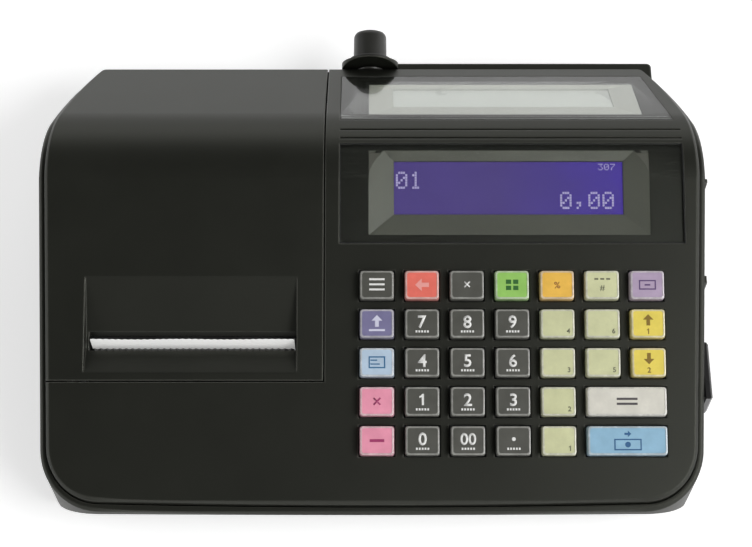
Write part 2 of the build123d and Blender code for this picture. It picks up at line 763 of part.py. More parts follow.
def lower_case():
    """Tub with the rim that shows round the lid, bosses, posts, hinge ears and sockets' wall."""
    grow = case_gap + rim_width
    outline = plan_face(grow, case_gap + rear_rim_width, rear_rim_width)
    outer = column(outline, foot_height, far / 2) & under(rim_drop)
    base = outer.edges().filter_by(lambda edge: abs(edge.center().Z - foot_height) < 0.1
                                   and edge.center().Y > corner_radius)
    outer = chamfer(base, base_chamfer)
    rim = outer.edges().filter_by(lambda edge: edge.center().Z > front_height - 2 * rim_drop
                                  and abs(edge.tangent_at(0.5).Z) < 0.9
                                  and not (abs(edge.center().X) < 1
                                           and 100 < edge.center().Y < lid_depth - 10))
    outer = chamfer(rim, rim_edge)
    outer -= chin(0)
    inside = column(plan_face(case_gap, case_gap, case_gap), floor_top, far / 2)
    case = outer - (inside - chin(rim_width))
    solids = []
    for x, y in screw_places:
        top = screw_joint(y)
        solids.append(column(Pos(x, y) * boss_outline(), foot_height, top))
    for x, y in board_posts:
        solids.append(block(x - post_half, x + post_half, y - post_half, y + post_half,
                            floor_top, floor_top + post_height))
    for x in hinge_arm_places:
        solids.append(hinge_ear(x - cheek_gap - hinge_ear_width))
    solids.append(hood())
    for y, length in side_nubs:
        x = side_wall_x(y)
        top = surface_height(y) - rim_drop - nub_drop
        solids.append(block(x - rim_width / 2, x + nub_reach, y - length / 2, y + length / 2,
                            top - nub_tall, top))
    case += solids
    case += collar()
    case -= hub_room()
    for x, y in screw_places:
        top = screw_joint(y)
        case -= Pos(x, y, top / 2) * Cylinder(screw_radius + bearing_fit, top)
        case -= Pos(x, y, (foot_height + screw_seat) / 2) * Cylinder(
            screw_head_radius + case_gap, screw_seat - foot_height)
    for number in range(vent_count):
        x = vent_left + number * vent_pitch
        case -= block(x, x + vent_width, vent_front, vent_front + vent_length, 0, floor_top + 1)
    case -= rod(-far, -rear_half_width + 2 * wall, hinge_y, hinge_z, cheek_radius + cheek_gap)
    case -= switch_hole(case_gap / 2)
    for name, x, width, tall in sockets:
        case -= block(x - width / 2 - socket_gap, x + width / 2 + socket_gap,
                      lid_depth - 1, far, socket_low - socket_gap,
                      socket_low + tall + socket_gap)
    return case


def hinge_ear(x):
    """Plate with the hole for the hinge pin, leaning forward clear of the cover's rear edge."""
    foot_y = hinge_y - ear_lean
    foot_z = hinge_z - ear_foot_drop
    rounds = (Pos(hinge_y, hinge_z) * Circle(hinge_ear_radius),
              Pos(foot_y, foot_z) * Circle(ear_foot_radius))
    outline = make_hull(sum((shape.edges() for shape in rounds), ShapeList()))
    plate = slab(Plane.YZ * outline, x, x + hinge_ear_width)
    plate += block(x, x + hinge_ear_width, foot_y - ear_foot_radius, foot_y + ear_foot_radius,
                   floor_top - 1, foot_z)
    return plate - rod(x - 1, x + hinge_ear_width + 1, hinge_y, hinge_z,
                       hinge_pin_radius + hinge_fit)


def hood():
    """Ledge over the sockets at the rear, carried round the right-hand corner."""
    rear = lid_depth + case_gap + rear_rim_width
    top = surface_height(rear) - rim_drop / math.cos(fall) - rim_edge
    outline = Rectangle(hood_right - hood_left, hood_wrap + hood_reach)
    outline = fillet(outline.vertices().group_by(Axis.Y)[-1].sort_by(Axis.X)[-1], hood_corner)
    place = Pos((hood_left + hood_right) / 2, rear + (hood_reach - hood_wrap) / 2)
    ledge = column(place * outline, top - hood_thickness, top)
    edges = ledge.faces().sort_by(Axis.Z)[-1].edges().sort_by(Axis.Y)[-2:]
    ledge = chamfer(edges, hood_thickness / 4)
    return ledge - column(plan_face(case_gap, case_gap, case_gap), 0, far)


def knob_place(out):
    """Place on the knob's axis, its Z along that axis."""
    return Location((knob_x, knob_y + out * math.cos(knob_lean),
                     knob_height + out * math.sin(knob_lean)), (knob_tilt - 90, 0, 0))


def turned(outline):
    """Solid of revolution on the knob's axis from (radius, distance along the axis) points."""
    section = Plane.XZ * make_face(outline)
    return knob_place(0) * revolve(section, Axis.Z)


def collar():
    """Round seat of the knob on the rear wall."""
    disc = knob_place(collar_length / 2) * Cylinder(collar_radius, collar_length)
    root = knob_place(-collar_length) * Cylinder(collar_radius, 2 * collar_length)
    wall_side = block(-far, far, lid_depth + case_gap, far, 0, far)
    rim_top = surface_height(lid_depth) - rim_drop / math.cos(fall) - rim_edge
    root = root & wall_side - block(-far, far, -far, far, rim_top, far)
    disc = disc & wall_side
    return disc + root


def hub_room():
    """Bore of the collar for the knob's shaft, opened out in front for its hub."""
    room = knob_place(-collar_length) * Cylinder(hub_radius + case_gap, 2 * collar_length)
    return room + knob_place(0) * Cylinder(knob_shaft_radius + bearing_fit, 8 * collar_length)


def switch_hole(gap):
    """Room for the power switch in the right-hand wall, gap larger than its body all round."""
    half_width = switch_width / 2 - bezel_border + switch_wall + gap
    half_tall = switch_tall / 2 - bezel_border + switch_wall + gap
    return block(front_half_width - 2 * switch_body_length, far, switch_depth - half_width,
                 switch_depth + half_width, switch_height - half_tall, switch_height + half_tall)


def side_wall_x(y):
    """Outer face of the lower case at depth y, ahead of its widest place."""
    share = y / widest_depth
    return front_half_width + case_gap + rim_width + share * (widest_half_width
                                                              - front_half_width)


bezel_x = side_wall_x(switch_depth + switch_width / 2) + bezel_stand
pivot_x = bezel_x - rocker_inset
rocker_width = switch_width - 2 * bezel_border - 2 * rocker_gap
rocker_tall = switch_tall - 2 * bezel_border - 2 * rocker_gap


def power_switch_housing():
    """Bezel and open body of the power switch."""
    bezel = block(bezel_x, bezel_x + bezel_thickness, switch_depth - switch_width / 2,
                  switch_depth + switch_width / 2, switch_height - switch_tall / 2,
                  switch_height + switch_tall / 2)
    bezel = chamfer(bezel.faces().sort_by(Axis.X)[-1].edges(), bezel_edge)
    half_width = switch_width / 2 - bezel_border
    half_tall = switch_tall / 2 - bezel_border
    body = block(bezel_x - switch_body_length, bezel_x, switch_depth - half_width - switch_wall,
                 switch_depth + half_width + switch_wall, switch_height - half_tall - switch_wall,
                 switch_height + half_tall + switch_wall)
    room = block(bezel_x - switch_body_length + switch_wall, far, switch_depth - half_width,
                 switch_depth + half_width, switch_height - half_tall, switch_height + half_tall)
    return bezel + body - room


def power_rocker():
    """Rocker of the power switch, resting with its front end pressed."""
    disc = Cylinder(rocker_width / 2, rocker_tall)
    face_x = bezel_x + bezel_thickness - rocker_proud - pivot_x
    dish_x = face_x + rocker_dish_radius - rocker_dish
    rocker = disc & block(-rocker_back, face_x, -far, far, -far, far)
    rocker -= Pos(dish_x, 0, 0) * Cylinder(rocker_dish_radius, rocker_tall)
    return Pos(pivot_x, switch_depth, switch_height) * Rot(0, 0, rocker_tilt) * rocker


# ---------------------------------------------------------------- printer
platen_y = paper_line + paper_thickness / 2 + paper_gap + platen_radius
platen_depth = platen_clearance + platen_radius - lip_low
platen_height = front_height + platen_y * math.tan(slope) - platen_depth / math.cos(slope)
web_platen_radius = platen_radius + paper_gap + paper_thickness / 2
web_roll_radius = roll_radius + paper_gap + paper_thickness / 2
cradle_radius = roll_radius + cradle_slack
cradle_height = roll_height + cradle_slack - roll_seat
plate_left = paper_centre - paper_width / 2 - frame_side_gap - frame_wall
plate_right = paper_centre + paper_width / 2 + frame_side_gap + frame_wall
gear_right = plate_left - gear_gap
gear_left = gear_right - gear_width
motor_lead = platen_y - motor_depth
motor_height = platen_height - motor_drop
platen_pitch = gear_module * platen_teeth / 2
pinion_pitch = gear_module * pinion_teeth / 2
# The idler has the teeth that bridge the two axes, and lies a little below the line between them.
train_span = math.hypot(motor_lead, motor_drop)
idler_room = train_span - platen_pitch - pinion_pitch - 2 * gear_spread
idler_teeth = math.ceil(idler_room / gear_module)
idler_pitch = gear_module * idler_teeth / 2
first_centres = platen_pitch + idler_pitch + gear_spread
second_centres = idler_pitch + pinion_pitch + gear_spread
train_bend = math.acos((first_centres ** 2 + train_span ** 2 - second_centres ** 2)
                       / (2 * first_centres * train_span))
first_angle = math.atan2(-motor_drop, -motor_lead) + train_bend
idler_y = platen_y + first_centres * math.cos(first_angle)
idler_z = platen_height + first_centres * math.sin(first_angle)
platen_phase = math.degrees(first_angle)
idler_phase = platen_phase + 180 + 180 / idler_teeth
second_angle = math.degrees(math.atan2(motor_height - idler_z, motor_depth - idler_y))
pinion_phase = second_angle + 180 + (180 + (second_angle - idler_phase)
                                     * idler_teeth) / pinion_teeth
head_low = platen_height - head_drop
head_face = paper_line - paper_thickness / 2 - head_gap
head_back = head_face - head_thickness
frame_front = head_back - spring_room
spring_places = (paper_centre - spring_spread, paper_centre + spring_spread)


def tangent_direction():
    """Unit vector from either axis to the straight run of paper between roll and platen."""
    run = math.hypot(roll_depth - platen_y, roll_height - platen_height)
    along = ((roll_depth - platen_y) / run, (roll_height - platen_height) / run)
    share = (web_platen_radius - web_roll_radius) / run
    side = math.sqrt(1 - share ** 2)
    return (along[0] * share + along[1] * side, along[1] * share - along[0] * side)


down_y, down_z = tangent_direction()


def paper_web():
    """Paper from the roll, under the platen and up through the slot."""
    leave = (roll_depth + web_roll_radius * down_y, roll_height + web_roll_radius * down_z)
    meet = (platen_y + web_platen_radius * down_y, platen_height + web_platen_radius * down_z)
    start = math.atan2(down_z, down_y)
    turn = (start - math.pi) / 2
    bend = (platen_y + web_platen_radius * math.cos(turn),
            platen_height + web_platen_radius * math.sin(turn))
    rise = (platen_y - web_platen_radius, platen_height)
    path = Line(leave, meet) + ThreePointArc(meet, bend, rise) + Line(rise, (rise[0], paper_top))
    strip = Plane.YZ * trace(path, paper_thickness)
    return slab(strip, paper_centre - paper_width / 2, paper_centre + paper_width / 2)


def paper_roll():
    """Paper roll on its core."""
    left = paper_centre - paper_width / 2
    roll = rod(left, left + paper_width, roll_depth, roll_height, roll_radius)
    return roll - rod(left - 1, left + paper_width + 1, roll_depth, roll_height, roll_bore)


def gear_solid(teeth, y, z, phase, bore):
    """Spur gear with involute flanks; phase is the direction of one tooth."""
    pitch = gear_module * teeth / 2
    pressure = math.radians(20)
    base = pitch * math.cos(pressure)
    half_tooth = math.pi / (2 * teeth) - backlash / (2 * pitch)
    involute = math.tan(pressure) - pressure

    def half_angle(radius):
        angle = math.acos(min(1.0, base / radius))
        return half_tooth + involute - (math.tan(angle) - angle)

    root = pitch - 1.25 * gear_module
    tip = pitch + 0.9 * gear_module
    rings = (root, pitch, tip)
    points = []
    for tooth in range(teeth):
        middle_angle = math.radians(phase) + 2 * math.pi * tooth / teeth
        for radius in rings:
            angle = middle_angle - half_angle(max(radius, base))
            points.append((radius * math.cos(angle), radius * math.sin(angle)))
        for radius in reversed(rings):
            angle = middle_angle + half_angle(max(radius, base))
            points.append((radius * math.cos(angle), radius * math.sin(angle)))
    face = make_face(Polyline(*points, close=True))
    if bore:
        face -= Circle(bore)
    return slab(Pos(0, y, z) * (Plane.YZ * face), gear_left, gear_right)


def platen_shaft():
    """Steel shaft through the platen, with its drive gear."""
    right = plate_right + 1.0
    shaft = rod(gear_left - 1.0, right, platen_y, platen_height, platen_shaft_radius)
    return shaft + gear_solid(platen_teeth, platen_y, platen_height, platen_phase, 0)


def platen_roller():
    """Rubber sleeve of the platen."""
    half = paper_width / 2 + frame_side_gap - 1.0
    sleeve = rod(paper_centre - half, paper_centre + half, platen_y, platen_height, platen_radius)
    return sleeve - rod(-far, far, platen_y, platen_height, platen_shaft_radius)


def idler_gear():
    """Gear between the motor's pinion and the platen's gear."""
    bore = idler_pin_radius + bearing_fit
    return gear_solid(idler_teeth, idler_y, idler_z, idler_phase, bore)


def motor_pinion():
    """Pinion on the motor's shaft."""
    shaft = rod(gear_left - 1.0, plate_left + frame_wall + motor_length / 2, motor_depth,
                motor_height, motor_shaft_radius)
    return shaft + gear_solid(pinion_teeth, motor_depth, motor_height, pinion_phase, 0)


def feed_motor():
    """Stepper motor inside the left side plate, with its two mounting ears."""
    face_x = plate_left + frame_wall
    can = rod(face_x, face_x + motor_length, motor_depth, motor_height, motor_radius)
    low = motor_height - motor_radius
    ear = block(face_x, face_x + motor_ear_thickness, motor_depth - motor_ear,
                motor_depth + motor_ear, low - motor_ear_reach,
                motor_height + motor_radius + motor_ear_reach)
    plug = block(face_x + motor_length / 4, face_x + 3 * motor_length / 4,
                 motor_depth - motor_ear, motor_depth + motor_ear, low - 0.6 * motor_ear_reach,
                 low + motor_ear_reach / 2)
    bore = rod(face_x - 1, face_x + motor_length / 2 + 1, motor_depth, motor_height,
               motor_shaft_radius + bearing_fit)
    return can + ear + plug - bore


def print_head():
    """Thermal head on its heat sink, in front of the paper."""
    half = paper_width / 2 + head_margin
    sink = block(paper_centre - half, paper_centre + half, head_back, head_face - head_plate,
                 head_low, head_low + head_height)
    plate = block(paper_centre - half + 2 * head_margin, paper_centre + half - 2 * head_margin,
                  head_face - head_plate, head_face, head_low + head_margin,
                  head_low + head_height - head_margin)
    connector = block(paper_centre - head_connector_half, paper_centre + head_connector_half,
                      head_back - head_connector_depth, head_back, head_low,
                      head_low + 3 * head_height / 8)
    return sink + plate + connector


def head_springs():
    """Two bent leaf springs that press the head to the paper."""
    seat_y = frame_front + frame_wall + spring_thickness * 0.6
    top = head_low + head_height
    touch_y = head_back - spring_thickness
    path = Polyline((seat_y, top - 0.2), (seat_y, top - 0.6 * head_height),
                    (touch_y, top - 0.2 * head_height), (touch_y - 1.0, top))
    leaf = Plane.YZ * trace(path, spring_thickness)
    return [slab(leaf, x - spring_width / 2, x + spring_width / 2) for x in spring_places]


def printer_frame():
    """Paper cradle, shelf, side plates and bearings of the printer."""
    mid = frame_wall / 2
    start = math.atan2(down_z, down_y)
    centre_radius = cradle_radius + mid

    def on_cradle(angle):
        return (roll_depth + centre_radius * math.cos(angle),
                cradle_height + centre_radius * math.sin(angle))

    rear_angle = math.radians(12)
    join = on_cradle(start)
    knee_z = join[1] + (join[0] - platen_y) * math.tan(-math.pi / 2 - start)
    corner = (frame_front + mid, knee_z)
    path = ThreePointArc(on_cradle(rear_angle), on_cradle((start + rear_angle) / 2), join)
    path += Line(join, (platen_y, knee_z))
    path += Line((platen_y, knee_z), corner)
    path += Line(corner, (corner[0], head_low + head_height - 1))
    tray = slab(Plane.YZ * trace(path, frame_wall), plate_left, plate_right)
    plates = []
    for x in (plate_left, plate_right - frame_wall):
        rounds = [Pos(roll_depth, cradle_height) * Circle(cradle_radius + frame_wall),
                  Pos(platen_y, platen_height) * Circle(platen_radius + bearing_rim)]
        rounds.append(Pos(corner[0] + frame_wall, corner[1] + frame_wall)
                      * Circle(frame_corner_radius))
        if x == plate_left:
            rounds.append(Pos(motor_depth, motor_height)
                          * Circle(motor_radius + motor_ear_reach))
        outline = make_hull(sum((shape.edges() for shape in rounds), ShapeList()))
        plates.append(slab(Plane.YZ * outline, x, x + frame_wall))
        for y in frame_foot_places:
            plates.append(block(x, x + frame_wall, y, y + frame_foot_length, floor_top,
                                cradle_height))
    frame = (tray + plates) & under(2.6 * wall)
    frame -= deck_block(-far, far, slot_front_t - 3 * wall, slot_rear_t + 4 * wall,
                        lip_low - wall / 3, far)
    frame += rod(gear_left - 0.5, plate_left + mid, idler_y, idler_z, idler_pin_radius)
    frame -= rod(-far, far, platen_y, platen_height, platen_shaft_radius + bearing_fit)
    frame -= rod(-far, plate_left + 2 * frame_wall, motor_depth, motor_height,
                 motor_shaft_radius + 1.0)
    return frame


# ---------------------------------------------------------------- displays, knob, boards
def display_module(place, left, right, length, view_shift):
    """Character display: board, metal frame and the recess of its view."""
    width = right - left
    board = Box(width, length, module_board)
    frame = Box(width - 2 * frame_inset, length - frame_inset, module_thickness - module_board)
    view = Box(view_width, view_length, 2 * view_recess)
    body = Pos(0, 0, -module_thickness + module_board / 2) * board
    body += Pos(0, 0, -(module_thickness - module_board) / 2) * frame
    body -= Pos(0, view_shift, 0) * view
    return place * body


def operator_lcd():
    left = window_left - module_overlap
    right = window_right + module_overlap
    place = on_deck((left + right) / 2, module_front + module_length / 2, -module_depth)
    return display_module(place, left, right, module_length, 0)


def customer_lcd():
    left = window_left - module_overlap
    right = window_right + module_overlap
    place = on_rear((left + right) / 2, rear_module_front + rear_module_length / 2,
                    -rear_module_depth)
    return display_module(place, left, right, rear_module_length, rear_view_shift)


def rear_knob():
    """Knob with its skirt, and the shaft that ends in a hub in front of the collar."""
    start = collar_length + knob_gap
    skirt_end = start + knob_skirt_length
    tip = skirt_end + knob_length
    hub_back = -bearing_fit
    outline = Polyline((0, -hub_length), (hub_radius, -hub_length), (hub_radius, hub_back),
                       (knob_shaft_radius, hub_back), (knob_shaft_radius, start),
                       (knob_skirt_radius, start), (knob_skirt_radius, skirt_end),
                       (knob_radius, skirt_end), (knob_radius, tip - knob_crown),
                       (knob_radius - knob_crown, tip), (0, tip), (0, -hub_length))
    return turned(outline)


def main_board():
    """Main circuit board on its posts, with the larger parts soldered to it."""
    low = floor_top + post_height
    rear = lid_depth - board_rear_gap
    board = block(main_board_left, main_board_right, main_board_front, rear, low,
                  low + board_thickness)
    top = low + board_thickness
    for left, right, front, back, tall in board_boxes:
        board += block(left, right, front, back, top, top + tall)
    for x, y, radius, tall in board_cans:
        board += Pos(x, y, top + tall / 2) * Cylinder(radius, tall)
    return board


def rear_ports():
    """Power inlet, serial socket and drawer socket, side by side on the main board."""
    rear = lid_depth + case_gap + rear_rim_width - socket_rear_inset
    bottom = rear - socket_depth
    ports = []
    for name, x, width, tall in sockets:
        shell = block(x - width / 2, x + width / 2, lid_depth - socket_length, rear, socket_low,
                      socket_low + tall)
        if name == "power":
            axis = Pos(x, bottom, socket_low + tall / 2) * Rot(-90, 0, 0)
            pin_length = socket_depth - inlet_pin_inset
            shell -= axis * Pos(0, 0, socket_depth) * Cylinder(inlet_radius, 2 * socket_depth)
            shell += axis * Pos(0, 0, pin_length / 2) * Cylinder(inlet_pin_radius, pin_length)
        else:
            keyway_top = socket_low + keyway_low + keyway_tall
            shell -= block(x - width / 2 + socket_wall, x + width / 2 - socket_wall, bottom, far,
                           keyway_top, socket_low + tall - socket_top_wall)
            shell -= block(x - keyway_half, x + keyway_half, bottom, far,
                           keyway_top - keyway_tall, keyway_top)
        ports.append(shell)
    return ports


def rubber_feet():
    """Four feet glued to the base."""
    return [Pos(x, y, foot_height / 2) * Cylinder(foot_radius, foot_height)
            for x, y in foot_places]


def case_screws():
    """Screws from below that hold the two cases together."""
    screws = []
    for x, y in screw_places:
        end = screw_joint(y) + screw_bite - screw_reserve
        head = Pos(x, y, screw_seat - screw_head_height / 2) * Cylinder(screw_head_radius,
                                                                        screw_head_height)
        shank = column(Pos(x, y) * RegularPolygon(screw_radius - bearing_fit, 8), screw_seat, end)
        screws.append(head + shank)
    return screws


# ---------------------------------------------------------------- all pieces
def pieces():
    """Every node's solids by name."""
    found = {
        "lower_case": lower_case(),
        "upper_case": upper_case(),
        "printer_cover": printer_cover(),
        "tear_bar": tear_bar(),
        "operator_lens": skin(lens_thickness, operator_lens_region(lens_fit)),
        "customer_lens": skin(lens_thickness, customer_lens_region(lens_fit)),
        "operator_lcd": operator_lcd(),
        "customer_lcd": customer_lcd(),
        "keyboard_board": keyboard_board(),
        "key_mat": key_mat(),
        "main_board": main_board(),
        "rear_ports": rear_ports(),
        "printer_frame": printer_frame(),
        "print_head": print_head(),
        "head_springs": head_springs(),
        "platen_roller": platen_roller(),
        "platen_shaft": platen_shaft(),
        "idler_gear": idler_gear(),
        "feed_motor": feed_motor(),
        "motor_pinion": motor_pinion(),
        "paper_roll": paper_roll(),
        "paper_web": paper_web(),
        "power_switch_housing": power_switch_housing(),
        "power_rocker": power_rocker(),
        "rear_knob": rear_knob(),
        "rubber_feet": rubber_feet(),
        "case_screws": case_screws(),
    }
    for name, x, t, width in key_places():
        found[name] = key_cap(x, t, width)
    return found


def main():
    os.makedirs("parts", exist_ok=True)
    for name, shape in pieces().items():
        solids = shape if isinstance(shape, list) else shape.solids()
        moved = [Pos(0, -middle, 0) * solid for one in solids for solid in one.solids()]
        export_step(Compound(children=moved), f"parts/{name}.step")


if __name__ == "__main__":
    main()
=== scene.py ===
"""Dresses the ticket register: keys, displays, paper, knob, fittings and finishes.

Lengths are metres. X runs to the operator's right, Y to the rear, Z up from the table.
"""

import math

import bmesh
import bpy
from bpy.props import FloatProperty, FloatVectorProperty, IntProperty, PointerProperty
from mathutils import Matrix, Vector


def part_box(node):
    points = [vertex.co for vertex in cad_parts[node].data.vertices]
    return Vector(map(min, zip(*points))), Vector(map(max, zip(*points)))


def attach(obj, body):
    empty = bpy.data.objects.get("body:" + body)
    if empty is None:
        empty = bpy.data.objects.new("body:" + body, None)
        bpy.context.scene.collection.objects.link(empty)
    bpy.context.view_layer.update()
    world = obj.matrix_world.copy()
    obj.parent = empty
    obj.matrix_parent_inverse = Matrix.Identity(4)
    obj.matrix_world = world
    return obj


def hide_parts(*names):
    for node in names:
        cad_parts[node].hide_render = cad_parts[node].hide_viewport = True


bl_info = {
    "name": "Ticket Register",
    "version": (1, 0, 0),
    "blender": (4, 5, 0),
    "location": "3D View > Sidebar > Register",
    "description": "Builds the pieces and finishes of a countertop ticket register",
    "category": "Object",
}

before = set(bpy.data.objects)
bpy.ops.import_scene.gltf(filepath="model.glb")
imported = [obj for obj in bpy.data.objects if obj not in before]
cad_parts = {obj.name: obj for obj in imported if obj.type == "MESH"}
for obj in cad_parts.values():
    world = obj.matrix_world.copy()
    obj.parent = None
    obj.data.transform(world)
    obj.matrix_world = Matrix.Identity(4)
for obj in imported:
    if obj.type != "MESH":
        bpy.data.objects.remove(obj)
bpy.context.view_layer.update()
MM = 0.001

# ---------------------------------------------------------------- the case's own lines
DECK_SLOPE = math.radians(18.0)
REAR_SLOPE = math.radians(37.5)
FRONT_HEIGHT = 34.0 * MM
DECK_LENGTH = 126.3 * MM
CROWN_RADIUS = 36.0 * MM
LID_DEPTH = 195.0 * MM
ROLL_DEPTH = 138.0 * MM
ROLL_HEIGHT = 38.0 * MM
LENS_THICKNESS = 1.3 * MM
LID_FRONT = sum(corner[1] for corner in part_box("paper_roll")) / 2 - ROLL_DEPTH


def deck_point(x, t, n):
    """Point t up the keyboard deck and n above it."""
    return Vector((x, LID_FRONT + t * math.cos(DECK_SLOPE) - n * math.sin(DECK_SLOPE),
                   FRONT_HEIGHT + t * math.sin(DECK_SLOPE) + n * math.cos(DECK_SLOPE)))


CROWN_AXIS = deck_point(0, DECK_LENGTH, -CROWN_RADIUS)
CROWN_END = CROWN_AXIS + CROWN_RADIUS * Vector((0, math.sin(REAR_SLOPE), math.cos(REAR_SLOPE)))


def rear_point(x, u, n):
    """Point u down the rear slope and n above it."""
    return Vector((x, CROWN_END.y + u * math.cos(REAR_SLOPE) + n * math.sin(REAR_SLOPE),
                   CROWN_END.z - u * math.sin(REAR_SLOPE) + n * math.cos(REAR_SLOPE)))


def lid_point(x, y, n):
    """Point n above the lid's surface at a depth behind its front edge."""
    flat_end = CROWN_AXIS.y - CROWN_RADIUS * math.sin(DECK_SLOPE)
    y += LID_FRONT
    if y < flat_end:
        return deck_point(x, (y - LID_FRONT) / math.cos(DECK_SLOPE), 0) + n * Vector(
            (0, -math.sin(DECK_SLOPE), math.cos(DECK_SLOPE)))
    if y < CROWN_END.y:
        turn = math.asin((CROWN_AXIS.y - y) / CROWN_RADIUS)
        return Vector((x, CROWN_AXIS.y, CROWN_AXIS.z)) + (CROWN_RADIUS + n) * Vector(
            (0, -math.sin(turn), math.cos(turn)))
    return rear_point(x, (y - CROWN_END.y) / math.cos(REAR_SLOPE), n)


def deck_place(x, t, n):
    """Matrix of a place on the deck, turned with it."""
    return Matrix.Translation(deck_point(x, t, n)) @ Matrix.Rotation(DECK_SLOPE, 4, "X")


def rear_place(x, u, n):
    """Matrix of a place on the rear slope, turned with it."""
    return Matrix.Translation(rear_point(x, u, n)) @ Matrix.Rotation(-REAR_SLOPE, 4, "X")


# ---------------------------------------------------------------- colours
def colour(code):
    """Linear colour of a six-digit screen colour."""
    parts = [int(code[i:i + 2], 16) / 255 for i in (0, 2, 4)]
    return tuple(p / 12.92 if p <= 0.04045 else ((p + 0.055) / 1.055) ** 2.4 for p in parts)


def colour_property(label, description, code):
    """Colour that a user can change."""
    return FloatVectorProperty(name=label, description=description, default=colour(code),
                               subtype="COLOR", min=0.0, max=1.0, size=3)


def length_property(label, description, millimetres):
    """Length that a user can change."""
    return FloatProperty(name=label, description=description, default=millimetres * MM,
                         min=0.0, subtype="DISTANCE", unit="LENGTH", precision=5)


def power_property(label, watts):
    """Lamp's power that a user can change."""
    return FloatProperty(name=label, description=f"Power of the {label.lower()}", default=watts,
                         min=0.0, unit="POWER")


class RegisterCaseSettings(bpy.types.PropertyGroup):
    """Colours and edges of the moulded cases"""
    case: colour_property("Case", "Moulded plastic of the two cases", "181915")
    cover: colour_property("Cover", "Moulded plastic of the printer cover", "181915")
    edge: length_property("Soft edge", "Radius that the moulded edges are softened to", 0.9)
    grain: length_property("Grain", "Size of the moulded surface's grain", 0.45)


class RegisterKeySettings(bpy.types.PropertyGroup):
    """Sizes and colours of the keys"""
    width: length_property("Cap width", "Width of a single cap at its foot", 13.5)
    length: length_property("Cap length", "Length of a cap at its foot", 11.6)
    height: length_property("Cap height", "Top of a cap above the deck", 4.0)
    corner: length_property("Corner", "Corner radius of a cap", 1.1)
    dark: colour_property("Number keys", "Insert of the number keys", "55554f")
    red: colour_property("Clear key", "Insert of the clear key", "f77a6b")
    green: colour_property("Item key", "Insert of the item key", "9ed46a")
    orange: colour_property("Percent key", "Insert of the percent key", "f8c453")
    lavender: colour_property("Drawer key", "Insert of the drawer key", "bba7c2")
    violet: colour_property("Paper key", "Insert of the paper feed key", "827ea4")
    sky: colour_property("Client key", "Insert of the client key", "c1d6ea")
    blue: colour_property("Cash key", "Insert of the cash key", "95c0da")
    pink: colour_property("Cancel keys", "Insert of the cancel and void keys", "faa2bb")
    pale: colour_property("Group keys", "Insert of the group keys", "d8daac")
    yellow: colour_property("Payment keys", "Insert of the payment keys", "f2dc5f")
    white: colour_property("Subtotal key", "Insert of the subtotal key", "e3e0d4")


class RegisterDisplaySettings(bpy.types.PropertyGroup):
    """Sizes and colours of the two displays"""
    dot_pitch: length_property("Dot pitch", "Distance between the display's dots", 0.93)
    dot_rise: length_property("Row pitch", "Distance between the display's rows of dots", 1.0)
    dot_size: length_property("Dot size", "Side of one dot", 0.8)
    glow: colour_property("Display", "Colour of the lit display", "4d3e80")
    glow_right: colour_property("Display, right end", "Colour near the lamp of the display",
                                "46319e")
    dots: colour_property("Dots", "Colour of the display's dots", "a99fd0")
    bezel: colour_property("Bezel", "Slanted frame round the operator's display", "4a4a43")
    customer: colour_property("Customer bezel", "Slanted frame round the customer's display",
                              "a0a097")
    unlit: colour_property("Customer display", "Unlit display on the customer's side", "c3c5c0")


class RegisterStageSettings(bpy.types.PropertyGroup):
    """Camera and lamps"""
    focal: FloatProperty(name="Lens", description="Focal length of the camera", default=86.17,
                         min=10.0, unit="CAMERA")
    elevation: FloatProperty(name="Elevation", description="Camera's height above the horizon",
                             default=math.radians(64.0), subtype="ANGLE")
    distance: length_property("Distance", "Camera's distance from the deck", 703.125)
    left_power: power_property("Left lamp", 3.2)
    right_power: power_property("Right lamp", 12.0)
    rear_power: power_property("Rear lamp", 3.5)
    front_power: power_property("Front lamp", 1.0)
    horizon: FloatProperty(name="Horizon", description="Strength of the surroundings low down",
                           default=0.9, min=0.0)
    zenith: FloatProperty(name="Zenith", description="Strength of the surroundings overhead",
                          default=0.04, min=0.0)


# ---------------------------------------------------------------- materials
class Nodes:
    """A node tree that is built node by node."""

    def __init__(self, tree):
        self.nodes, self.links = tree.nodes, tree.links

    def node(self, kind, **values):
        """New node; values go to its properties or, by name, to its inputs."""
        made = self.nodes.new(kind)
        for key, value in values.items():
            if hasattr(made, key):
                setattr(made, key, value)
            else:
                self.feed(made.inputs[key.replace("_", " ").title()], value)
        return made

    def feed(self, socket, value):
        """Gives a socket a link or a plain value."""
        if isinstance(value, bpy.types.NodeSocket):
            self.links.new(value, socket)
        elif isinstance(value, (tuple, list)) and len(value) == 3 and socket.type == "RGBA":
            socket.default_value = (*value, 1.0)
        else:
            socket.default_value = value

    def math(self, operation, first, second):
        """One sum."""
        made = self.node("ShaderNodeMath", operation=operation)
        self.feed(made.inputs[0], first)
        self.feed(made.inputs[1], second)
        return made.outputs[0]

    def between(self, factor, low, high, start=0.3, stop=0.7, curve="LINEAR"):
        """Number that runs from low to high."""
        made = self.node("ShaderNodeMapRange", interpolation_type=curve)
        for key, value in (("Value", factor), ("From Min", start), ("From Max", stop),
                           ("To Min", low), ("To Max", high)):
            self.feed(made.inputs[key], value)
        return made.outputs["Result"]


